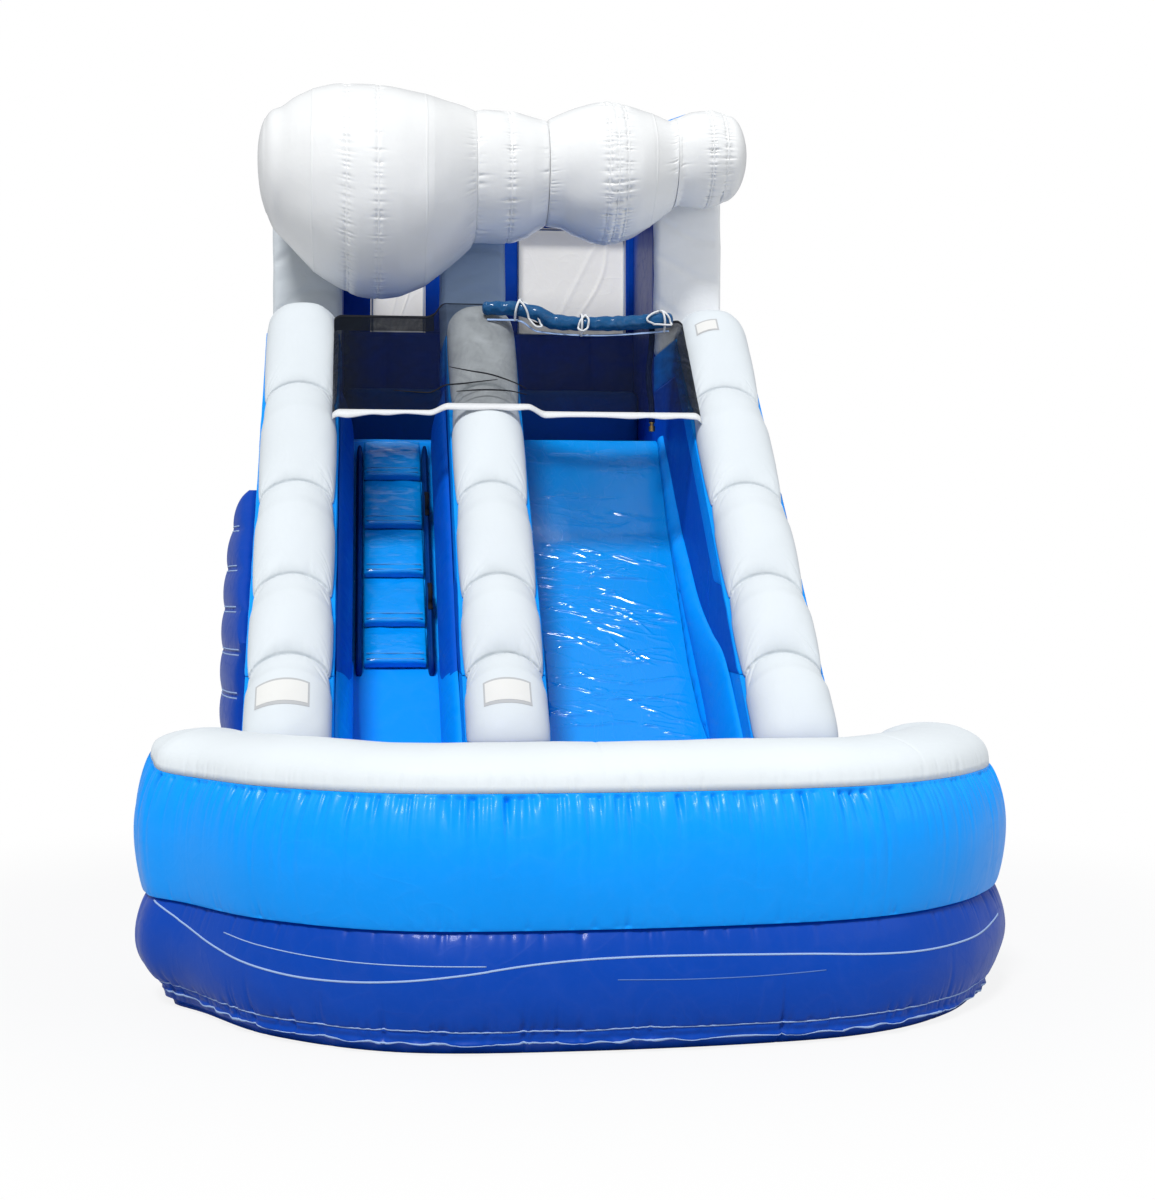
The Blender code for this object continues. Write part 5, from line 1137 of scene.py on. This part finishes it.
# Posts, beam, back wall with its windows.
for side, left, right in WALLS:
    post = rounded_box(
        side + "_post_pad", (left, TOWER_FRONT, LEDGE_HEIGHT + EASE),
        (right, UPPER_START - EASE, TOWER_TOP), 0.03, POST_LIT_AND_SHADED_FINISHES[side], "white_vinyl", side + "_tower",
        0.004, 51, 0.016,
    )
    for vertex in post.data.vertices:
        x, y, z = vertex.co
        front = max(0.0, 1 - (y - TO_PACKED[1] - TOWER_FRONT) / 0.03)
        wave = math.sin(z * 24 + 2.2 * math.sin(x * 7) + 1.5 * math.sin(z * 5))
        fine = math.sin(z * 71 + 4 * math.sin(x * 5 + z * 3))
        vertex.co.y += front * (0.010 * max(wave, 0.0) ** 6 + 0.003 * max(fine, 0.0) ** 4)
beam_places = close_at_ends(LEFT_OUT, RIGHT_OUT, 150)
beam_top = 0.37 * np.interp(
    (beam_places - LEFT_OUT) / (RIGHT_OUT - LEFT_OUT),
    (0.0, 0.01, 0.04, 0.79, 0.87, 0.925, 0.96, 0.99, 1.0),
    (0.55, 0.68, 0.75, 0.75, 0.86, 1.0, 1.0, 0.93, 0.8),
)
BEAM_ROUND, BEAM_NEAR, BEAM_FAR = 0.07, TOWER_FRONT + 0.07, TOWER_FRONT + 0.27
corner = np.linspace(0, math.pi / 2, 9)
beam_corners = ((BEAM_FAR, True), (BEAM_NEAR, True), (BEAM_NEAR, False), (BEAM_FAR, False))
beam_rows = []
for quarter, (y, top) in enumerate(beam_corners):
    core = beam_top - BEAM_ROUND if top else EASE + BEAM_ROUND + 0 * beam_places
    for angle in corner + quarter * math.pi / 2:
        level = TOWER_TOP + core + BEAM_ROUND * math.sin(angle)
        rounded = np.full(len(beam_places), y + BEAM_ROUND * math.cos(angle))
        beam_rows.append(np.stack((beam_places, rounded, level), axis=1))
beam = np.stack(beam_rows, axis=1)
beam_push = np.minimum(ripple(beam, [(0.4, 0.003), (0.12, 0.0015)], 55), 0)
blown("crest_beam_tube", beam - outward(beam) * beam_push[:, :, None], *LIGHT_SKIN, node="crest_beam")

WINDOW_LOW, WINDOW_TALL = 3.25, 0.68
WINDOW_HIGH = WINDOW_LOW + WINDOW_TALL
PIPING_INSET, PIPING_RADIUS, CHANNEL_PITCH = 0.012, 0.006, 0.3195


def wall_with_windows():
    """Back wall as blown panels round two window openings, whose left and right sides it returns."""
    holes = [(LEFT_IN + 0.165, LEFT_IN + 0.165 + 0.34), (RIGHT_IN - 0.035 - 0.69, RIGHT_IN - 0.035)]
    panels = [(LEFT_OUT, RIGHT_OUT, 0.0, WINDOW_LOW), (LEFT_OUT, RIGHT_OUT, WINDOW_HIGH, TOWER_TOP)]
    for left, right in ((LEFT_OUT, holes[0][0]), (holes[0][1], holes[1][0]), (holes[1][1], RIGHT_OUT)):
        panels.append((left, right, WINDOW_LOW, WINDOW_HIGH))
    for number, (left, right, low, high) in enumerate(panels, 1):
        x = np.linspace(left, right, max(int((right - left) / 0.012), 4))
        z = np.linspace(low, high, max(int((high - low) / 0.03), 4))
        xx, zz = np.meshgrid(x, z, indexing="ij")
        channel = np.abs(np.sin((xx - LEFT_OUT) / CHANNEL_PITCH * math.pi)) ** 0.5
        edge = np.minimum(np.minimum(xx - left, right - xx), np.minimum(zz - low, high - zz))
        inside = np.clip(edge / 0.03, 0, 1) ** 0.5
        sink = (0.012 * (1 - channel) + 0.001) * inside
        near, far = (np.stack((xx, y, zz), axis=2) for y in (WALL_BACK + sink, REAR - sink))
        grid = np.concatenate((near, far[:, ::-1]), axis=1)
        node = "back_wall" if number == 1 else ""
        blown("back_wall_panel_%d" % number, grid, *ROYAL_SKIN, node=node)
    return holes


window_holes = wall_with_windows()
for node, (left, right) in zip(("climb_window", "slide_window"), window_holes):
    x = np.linspace(left + 0.0005, right - 0.0005, 70)
    z = np.linspace(WINDOW_LOW + 0.0005, WINDOW_HIGH - 0.0005, 70)
    xx, zz = np.meshgrid(x, z, indexing="ij")
    u, v = (xx - left) / (right - left), (zz - WINDOW_LOW) / WINDOW_TALL
    crease = 0.007 * bell(u - 0.42 - 0.40 * np.sin(v * 2.0), 0.012) + 0.004 * bell(u - 0.3 - 0.5 * v, 0.02)
    bow = 0.004 * np.sin(math.pi * u) * np.sin(math.pi * v)
    y = WALL_BACK + 0.093 - crease - bow
    front = np.stack((xx, y, zz), axis=2)
    back = front[:, ::-1] + np.array((0, 0.0015, 0))
    sheet = np.concatenate((front, back), axis=1)
    blown(node + "_sheet", sheet, WINDOW_VINYL, "window_sheet", node=node)
    in_left, in_right = left + PIPING_INSET, right - PIPING_INSET
    in_low, in_high = WINDOW_LOW + PIPING_INSET, WINDOW_HIGH - PIPING_INSET
    frame_line = [(in_left, in_low), (in_right, in_low), (in_right, in_high), (in_left, in_high)]
    frame_line.append(frame_line[0])
    dense = []
    for a, b in zip(frame_line, frame_line[1:]):
        for t in np.linspace(0, 1, 24, endpoint=False):
            dense.append((a[0] + (b[0] - a[0]) * t, WALL_BACK + 0.084, a[1] + (b[1] - a[1]) * t))
    blown(node + "_piping", cord_mesh(dense + [dense[0]], PIPING_RADIUS, 8), *WHITE_SKIN)

# Crest: four lobes blown round one bent tube.
CREST = np.array(
    [
        (-1.341, 3.981, 0.0), (-1.33, 3.972, 0.078), (-1.308, 3.952, 0.182), (-1.276, 3.932, 0.254),
        (-1.223, 3.913, 0.336), (-1.142, 3.9, 0.411), (-1.035, 3.873, 0.487), (-0.922, 3.848, 0.537),
        (-0.808, 3.82, 0.565), (-0.695, 3.811, 0.574), (-0.575, 3.816, 0.561), (-0.434, 3.839, 0.518),
        (-0.318, 3.876, 0.453), (-0.234, 3.907, 0.404), (-0.166, 3.933, 0.358), (-0.105, 3.94, 0.361),
        (-0.032, 3.943, 0.362), (0.047, 3.948, 0.358), (0.137, 3.954, 0.333), (0.236, 3.975, 0.288),
        (0.327, 3.99, 0.316), (0.4, 3.984, 0.35), (0.483, 3.98, 0.381), (0.562, 3.979, 0.398),
        (0.641, 3.984, 0.387), (0.732, 3.992, 0.356), (0.824, 4.012, 0.308), (0.927, 4.038, 0.252),
        (0.99, 4.075, 0.246), (1.06, 4.087, 0.264), (1.165, 4.094, 0.276), (1.246, 4.097, 0.254),
        (1.31, 4.1, 0.199), (1.355, 4.1, 0.131), (1.375, 4.1, 0.053), (1.38, 4.1, 0.0),
    ]
)
CREST_DEPTH_X = (-1.4, -1.0, -0.7, -0.4, -0.2, 0.0, 0.2, 0.4, 0.6, 0.8, 1.0, 1.15, 1.45)
CREST_DEPTH_R = (0.56, 0.572, 0.575, 0.53, 0.45, 0.38, 0.36, 0.375, 0.392, 0.37, 0.31, 0.28, 0.27)
CREST_BACK = TOWER_FRONT - EASE
crest_seams = (CREST[0, 0], -0.166, 0.236, 0.96, CREST[-1, 0])
CREST_LINES = ((-1.04, -0.44), (), (0.823,), ())  # fine sewn lines, lobe by lobe
CREST_GATHERS = ((-0.862, -0.696), (0.0215,), (0.545, 0.599, 0.653), (1.151, 1.237))


def crest_lobe(number, start, end, seed):
    """One lobe of the crest, with its sewn lines and the gathers beside them."""
    low, high = start + EASE / 2 * (number > 0), end - EASE / 2 * (number < 3)
    joins = [start] * (number > 0) + [end] * (number < 3)  # seams shared with the next lobes
    places = [close_at_ends(low, high, 110)]
    for gore in (*CREST_LINES[number], *CREST_GATHERS[number]):
        places.append(gore + np.linspace(-0.045, 0.045, 31))
    x = np.unique(np.clip(np.concatenate(places), low, high))
    x = x[np.concatenate(([True], np.diff(x) > 0.0008))]
    x[-1] = high
    even = np.linspace(low, high, 500)
    level, radius = (np.interp(even, CREST[:, 0], CREST[:, column]) for column in (1, 2))
    if number in (0, 3):
        # A round end: the table's radius eased by an arc near its tip.
        tip = low if number == 0 else high
        away = np.abs(even - tip)
        arc = np.interp(tip + (0.12 if number == 0 else -0.12), CREST[:, 0], CREST[:, 2])
        blend_in = rounded_rise(np.clip(away / 0.12, 0, 1)) ** 1.05
        radius = np.where(away < 0.12, arc * blend_in, radius)
    for values in (level, radius):
        values[20:-20] = evened(values, 41)[20:-20]
    level, radius = np.interp(x, even, level), np.interp(x, even, radius)
    radius = np.maximum(radius, 0.004)
    depth = CREST_BACK - 0.75 * np.interp(x, CREST_DEPTH_X, CREST_DEPTH_R)
    front = np.linspace(0.42 * math.pi, 1.58 * math.pi, 420)
    angles = np.concatenate((front, np.linspace(1.58 * math.pi, 2.42 * math.pi, 60)[1:-1]))
    y = depth[:, None] + radius[:, None] * np.cos(angles)
    z = level[:, None] + radius[:, None] * np.sin(angles)
    grid = np.stack((np.broadcast_to(x[:, None], y.shape), y, z), axis=2)
    push = np.zeros(y.shape)
    around = angles * float(radius.max())
    for place, gore in enumerate(joins):
        push += puckers(around, x - gore, 90, 0.030, 0.0040, 0.008, seed + 7 * place).T
    for gore in CREST_LINES[number]:
        push += (0.0025 * bell(x - gore, 0.004))[:, None]
    for place, gore in enumerate(CREST_GATHERS[number]):
        push += puckers(around, x - gore - 0.003, 250, 0.020, 0.0060, 0.0060, seed + 20 + 7 * place).T
        push += (-0.004 * bell(x - gore, 0.012))[:, None]
    push += ripple(grid, [(0.5, 0.004), (0.18, 0.0010)], seed + 2)
    sewn = np.ones(len(x))
    for gore in joins:
        sewn *= 1 - bell(x - gore, 0.012)
    push *= sewn[:, None]
    for gore in joins:
        push -= (0.004 * bell(x - gore, 0.007))[:, None]
    taper = np.ones(len(x))
    if number in (0, 3):
        taper = np.minimum(np.minimum(x - x[0], x[-1] - x) / 0.02, 1)
    normal = outward(grid)
    from_axis = grid[60, 200] - np.array((x[60], depth[60], level[60]))
    if (normal[60, 200] * from_axis).sum() < 0:
        normal = -normal
    grid = grid + normal * (push * taper[:, None])[:, :, None]
    grid[:, :, 1] = np.minimum(grid[:, :, 1], CREST_BACK)
    name, node = "crest_lobe_blown_%d" % (number + 1), "crest_lobe_%d" % (number + 1)
    blown(name, grid, LIT_CREST_VINYL, "white_vinyl", node=node)


for number in range(4):
    crest_lobe(number, crest_seams[number], crest_seams[number + 1], 500 + 50 * number)

# Side panels: royal pillows with level channels and paired pale sewing lines.
PANEL_FRONT, PANEL_HEIGHT, CHANNELS = WALL_FRONT + 0.62, 2.14, 11
for name, side, bulge in (("left", -1, 0.20), ("right", 1, 0.07)):
    share = close_at_ends(0, 1, 190)
    y = PANEL_FRONT + (WALL_BACK - PANEL_FRONT) * share
    swell = np.sqrt(np.clip(1 - np.abs(2 * share - 1) ** 3, 0, 1))
    level = np.linspace(0, 1, 150)
    height = np.minimum(PANEL_HEIGHT, seam_height(y) - LENS_DEPTH)
    domed = np.sqrt(np.clip(1 - np.abs(2 * level - 1) ** 2.6, 0, 1))
    z = EASE + (height[:, None] - EASE) * level[None, :]
    pinch = 1 - np.abs(np.sin(z / PANEL_HEIGHT * CHANNELS * math.pi)) ** 0.45
    out = 0.05 + (bulge - 0.05) * domed[None, :] * swell[:, None]
    out = out - (0.020 if side < 0 else 0.012) * pinch * (domed > 0.05)[None, :]
    gathers = np.zeros(z.shape)
    run = y - y[0]
    for line in range(1, CHANNELS):
        seam = line / CHANNELS * PANEL_HEIGHT
        away = np.linspace(0, PANEL_HEIGHT, 400) - seam
        table = puckers(run, away, 46, 0.03, 0.005, 0.010, 700 + line)
        for row in range(len(y)):
            gathers[row] += np.interp(z[row], away + seam, table[row])
    out = out + gathers * swell[:, None]
    grid = np.stack((side * (RIGHT_OUT + out), np.broadcast_to(y[:, None], z.shape), z), axis=2)
    back = grid[:, [-1, 0]].copy()
    back[:, :, 0] = side * (RIGHT_OUT + 0.001)
    pillow = np.concatenate((grid, back), axis=1)
    blown("side_pillow_" + name, pillow, *ROYAL_SKIN, turn=side < 0, node="side_panel_" + name)
    for line in range(1, CHANNELS):
        for pair, place in ((-1, "low"), (1, "high")):
            at = line / CHANNELS * PANEL_HEIGHT + pair * 0.012
            strip = []
            for row in range(8, len(y) - 8):
                if height[row] > at + 0.05:
                    outs = np.interp(at, z[row], grid[row, :, 0])
                    strip.append((outs, y[row], at))
            line_name = "side_line_%s_%d_%s" % (name, line, place)
            ribbon(line_name, strip, (side, 0.0, 0.0), 0.006, 0.002, SEAM_AND_HIGHLIGHT_LINE, "royal_vinyl")

# Safety net: knitted mesh across the lanes, its top binding and white hem.
net_x = np.linspace(NET_LEFT + 0.023, NET_RIGHT - 0.023, 300)
net_share = np.linspace(0, 1, 90)[None, :]
past_top = over_cap(net_x)[:, None]
net_down = NET_LENGTH * net_share - past_top * (1 - net_share) ** 2
bent = -0.026 * (np.clip((np.abs(net_x) - 0.885) / 0.04, 0, 1) ** 2)[:, None]
net = net_point(net_x[:, None], net_down, bent)
off_net = np.array((0, -math.sin(NET_ANGLE), math.cos(NET_ANGLE)))
slack = np.zeros(net.shape[:2])
rng = np.random.default_rng(91)
for _ in range(46):
    at = np.array((rng.uniform(NET_LEFT, NET_RIGHT), rng.uniform(0.05, NET_LENGTH)))
    heading = rng.normal(0.0, 0.5)
    length, wide = rng.uniform(0.06, 0.25), rng.uniform(0.010, 0.022)
    dx, dl = net_x[:, None] - at[0], net_down - at[1]
    along = dx * math.cos(heading) + dl * math.sin(heading)
    across = -dx * math.sin(heading) + dl * math.cos(heading)
    slack += rng.uniform(-0.006, 0.009) * np.exp(-((along / length) ** 2) - (across / wide) ** 2)
on_cap = bell(net_x - CAP_MIDDLE, 0.2, 4)[:, None]
slack = slack * (1 - on_cap) + np.abs(slack) * on_cap
hold = np.clip(np.minimum(net_x - NET_LEFT, NET_RIGHT - net_x) / 0.06, 0, 1)[:, None]
hold = hold * np.clip((NET_LENGTH - net_down) / 0.05, 0, 1) * np.clip(net_down / 0.03, 0, 1)
net_grid = net + off_net * (slack * hold)[:, :, None]
net_piece = blown(
    "safety_net_mesh", net_grid, NET_MESH, "net_cord", loop=False, ends=False, node="safety_net",
)
hem_rows = []
flutter = 0.004 * np.sin(net_x * 23 + 2 * np.sin(net_x * 9))
hem_slack = 1 + 0.45 * bell(net_x - NET_LEFT - 0.09, 0.05) - 0.45 * bell(net_x + 0.55, 0.2)
for down, out in ((-0.012, -0.0028), (HEM_WIDTH, -0.0028), (HEM_WIDTH, 0.003), (-0.012, 0.003)):
    wave, widened = (flutter, hem_slack) if down > 0 else (0.0, 1.0)
    hem_rows.append(net_point(net_x, NET_LENGTH + down * widened, out + wave + bent[:, 0]))
hem = blown("net_hem_strap", np.stack(hem_rows, axis=1), *HEM_SKIN, node="net_hem")
binding_rows = []
for down, out in ((0.0, -0.002), (0.018, -0.002), (0.018, 0.002), (0.0, 0.002)):
    binding_rows.append(net_point(net_x, down - past_top[:, 0], out + bent[:, 0]))
binding = blown("net_top_binding", np.stack(binding_rows, axis=1), *BLACK_SKIN)
# Where the slack net lies double over the centre cap, it shows as dark tucks.
for number, spots in enumerate(
    (
        ((-0.34, 0.50), (-0.24, 0.53), (-0.13, 0.56), (-0.02, 0.62), (0.04, 0.67)),
        ((-0.62, 0.64), (-0.45, 0.655), (-0.30, 0.64), (-0.20, 0.62), (-0.10, 0.60)),
        ((-0.31, 0.70), (-0.18, 0.685), (-0.05, 0.69), (0.04, 0.72)),
    ),
    1,
):
    spots = smooth_line(spots, 50)
    width = 0.002 + 0.008 * np.sin(math.pi * np.linspace(0.05, 0.95, 50))
    line = net_point(spots[:, 0], spots[:, 1], 0.0075)
    name = "net_tuck_%d" % number
    ribbon(name, line, off_net, width, 0.0012, BLACK_WEBBING, "net_cord")

# Spray sleeve along the net's upper edge, with its cords.
SLEEVE_RISE = SLEEVE_RADIUS + NET_THICKNESS / 2 + 0.0003


def sleeve_point(x):
    """The sleeve's middle line: it bridges from the net to the centre cap."""
    nearby = np.linspace(x - 2 * SLEEVE_RADIUS, x + 2 * SLEEVE_RADIUS, 9)
    bridge = crown_out(nearby).max() - crown_out(x)
    return net_point(x, SLEEVE_RADIUS, SLEEVE_RISE + bridge)


sleeve_x = np.linspace(CAP_MIDDLE, RIGHT_IN - SLEEVE_RADIUS, 240)
sleeve_line = np.array([sleeve_point(x) for x in sleeve_x])
sleeve_run = run_of(sleeve_line)
rings = cord_mesh(sleeve_line, SLEEVE_RADIUS * 0.86, 40)
centre = sleeve_line[:, None, :]
crinkle = ripple(rings, [(0.12, 0.0030), (0.05, 0.0020), (0.025, 0.0010)], 811)
flatten = 1 + 0.04 * np.sin(sleeve_run * 21)[:, None]
radial = (rings - centre) / np.linalg.norm(rings - centre, axis=2, keepdims=True)
ends = np.clip(np.minimum(sleeve_run, sleeve_run[-1] - sleeve_run) / 0.03, 0, 1)[:, None]
size = np.linalg.norm(rings - centre, axis=2) * flatten + crinkle
size *= 0.35 + 0.65 * rounded_rise(ends)
size = np.minimum(size, SLEEVE_RADIUS * 1.02)
sleeve_grid = centre + radial * size[:, :, None]
blown("spray_sleeve_cloth", sleeve_grid, SLEEVE_VINYL, "sleeve_cloth", node="spray_sleeve")
stitch = net_point(sleeve_x[6:-4:3], 2 * SLEEVE_RADIUS + 0.006, NET_THICKNESS / 2 + 0.002)
ribbon("spray_sleeve_stitched_edge", stitch, off_net, 0.014, 0.0018, SEAM_AND_HIGHLIGHT_LINE, "sleeve_cloth")

TIE_RADIUS, BOW_RADIUS = 0.0058, 0.0056
# Each tie: its place across the lanes, and the points of its bow from there.
TIES = (
    (0.035, ((0.012, -0.05), (0.06, -0.005), (0.12, 0.055), (0.085, 0.075), (0.03, 0.02), (0.0, -0.012))),
    (0.365, ((0.015, -0.02), (0.035, 0.03), (0.005, 0.075), (-0.02, 0.05), (0.01, 0.0), (0.03, -0.03))),
    (0.800, ((-0.02, -0.025), (-0.09, 0.03), (-0.03, 0.045), (0.045, 0.06), (0.015, 0.01), (-0.01, -0.03))),
)
for number, (x, bow) in enumerate(TIES, 1):
    reach = SLEEVE_RADIUS + 0.0075
    arc = [(reach, -SLEEVE_RADIUS)]
    for angle in np.linspace(0, math.pi, 17):
        arc.append((reach * math.cos(angle), reach * math.sin(angle)))
    arc.append((-reach, -SLEEVE_RADIUS))
    before, after = sleeve_point(x - 0.012), sleeve_point(x + 0.012)
    middle, heading = (before + after) / 2, after - before
    across = np.cross(off_net, heading / np.linalg.norm(heading))
    loop = np.array([middle + across * along + off_net * out for along, out in arc])
    loop_rings = cord_mesh(smooth_line(loop, 60), TIE_RADIUS, 8)
    blown("sleeve_tie_%d" % number, loop_rings, *HEM_SKIN, node="net_tie_%d" % number)
    # The bow: it lies on the sleeve, and beyond that on the net.
    spots = smooth_line(bow, 44)
    places = []
    for dx, down in spots:
        over = math.sqrt(max(SLEEVE_RADIUS**2 - min(abs(down), SLEEVE_RADIUS) ** 2, 0.0))
        places.append(net_point(x + dx, SLEEVE_RADIUS + down, SLEEVE_RISE + over + 0.007))
    blown("sleeve_tie_bow_%d" % number, cord_mesh(places, BOW_RADIUS, 8), *HEM_SKIN)

# Inflation tube at the back, puckered where it is sewn on.
TUBE_X, TUBE_HEIGHT, TUBE_RADIUS, TUBE_LENGTH = 0.55, 0.1603, 0.159, 0.449
t = np.linspace(0, 1, 60)
tube_y = REAR + EASE + TUBE_LENGTH * t
angles = np.linspace(0, 2 * math.pi, 96, endpoint=False)
radius = (TUBE_RADIUS - 0.010 * bell(t - 0.62, 0.05))[:, None]


def tube_layer(size):
    """Rings of points round the inflation tube's middle line."""
    x, z = TUBE_X + size * np.cos(angles), TUBE_HEIGHT + size * np.sin(angles)
    return np.stack(np.broadcast_arrays(x, tube_y[:, None], z), axis=2)


outer = tube_layer(radius)
push = puckers(angles * 0.16, tube_y - REAR, 40, 0.10, 0.006, 0.012, 830).T
push += puckers(angles * 0.16, tube_y - REAR - 0.28, 34, 0.05, 0.005, 0.010, 831).T
push += np.minimum(ripple(outer, [(0.14, 0.003)], 832), 0)
outside, inside = tube_layer(radius + np.minimum(push, 0)), tube_layer(radius + push - 0.004)
tube_grid = np.concatenate((outside, inside[::-1], outside[:1]), axis=0)
blown("inflation_tube_cloth", tube_grid, *ROYAL_SKIN, ends=False, node="inflation_tube")

# Finishes of the model's own fittings.
FITTINGS = {
    STEEL: ("anchor_ring_1", "anchor_ring_2", "anchor_ring_3", "zip_slider"),
    BRASS: ("hose_stem", "hose_coupling"),
    NAVY_VINYL: ("anchor_patch_1", "anchor_patch_2", "anchor_patch_3"),
    TAPE_CLOTH: ("zip_tape",),
}
for finish, nodes in FITTINGS.items():
    for node in nodes:
        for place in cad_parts[node].material_slots:
            place.material = finish

# Floor, backdrop, light.
ground = bpy.data.meshes.new("studio_floor")
corners = [(x, y, -0.001) for x, y in ((-40, -40), (40, -40), (40, 60), (-40, 60))]
ground.from_pydata(corners, [], [(0, 1, 2, 3)])
floor = bpy.data.objects.new("studio_floor", ground)
bpy.context.scene.collection.objects.link(floor)
studio = Finish("studio_floor", (0.60, 0.60, 0.60), 0.9)
rays = studio.node("ShaderNodeLightPath", {}, {}, "Is Camera Ray")
glow = studio.node("ShaderNodeEmission", {}, {"Color": (1, 1, 1, 1), "Strength": 1.0})
output = studio.tree.nodes["Material Output"]
away = studio.node("ShaderNodeVectorMath", {"operation": "LENGTH"}, {0: studio.place}, 1)
fade_range = {0: away, 1: 2.4, 2: 5.0, 3: 0.86, 4: 1.0}  # from, to, and the shares there
fade = studio.node("ShaderNodeMapRange", {"interpolation_type": "SMOOTHSTEP"}, fade_range)
lit = Paint(studio, studio.shader.outputs[0])
mixed = studio.node("ShaderNodeMixShader", {}, {0: rays * fade, 1: lit, 2: glow})
studio.tree.links.new(mixed.socket, output.inputs["Surface"])
ground.materials.append(studio.material)
floor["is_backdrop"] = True

world = bpy.data.worlds.new("studio")
bpy.context.scene.world = world
world.use_nodes = True
world.node_tree.nodes.clear()
sky = Nodes(world.node_tree)
camera_ray = sky.node("ShaderNodeLightPath", {}, {}, "Is Camera Ray")
through_ray = sky.node("ShaderNodeLightPath", {}, {}, "Is Transmission Ray")
seen = sky.node("ShaderNodeMath", {"operation": "MAXIMUM"}, {0: camera_ray, 1: through_ray})
light = sky.node("ShaderNodeBackground", {}, {"Color": (0.95, 0.97, 1.0, 1), "Strength": 0.50})
backdrop = sky.node("ShaderNodeBackground", {}, {"Color": (1, 1, 1, 1), "Strength": 1.0})
both = sky.node("ShaderNodeMixShader", {}, {0: seen, 1: light, 2: backdrop})
sky.node("ShaderNodeOutputWorld", {}, {"Surface": both})


def lamp(name, kind, place, aim, strength, size):
    """A light at a place, turned to an aim. Its size is an angle for the sun, or else metres."""
    data = bpy.data.lights.new(name, kind)
    data.energy = strength
    if kind == "SUN":
        data.angle = size
    else:
        data.size = size
    made = bpy.data.objects.new(name, data)
    made.location = place
    heading = np.array(aim, float) - np.array(place, float)
    heading /= np.linalg.norm(heading)
    turn = math.atan2(heading[0], -heading[1]) + math.pi
    made.rotation_euler = (math.acos(-heading[2]), 0.0, turn)
    bpy.context.scene.collection.objects.link(made)


lamp("main_light", "SUN", (-2.3, -5.6, 8.3), (0.0, 0.0, 0.8), 2.9, math.radians(12))
lamp("side_soft_box", "AREA", (6.5, -5.0, 5.0), (0.3, 0.0, 1.8), 110.0, 5.0)

bpy.context.scene.view_settings.view_transform = "Standard"

low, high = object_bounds()
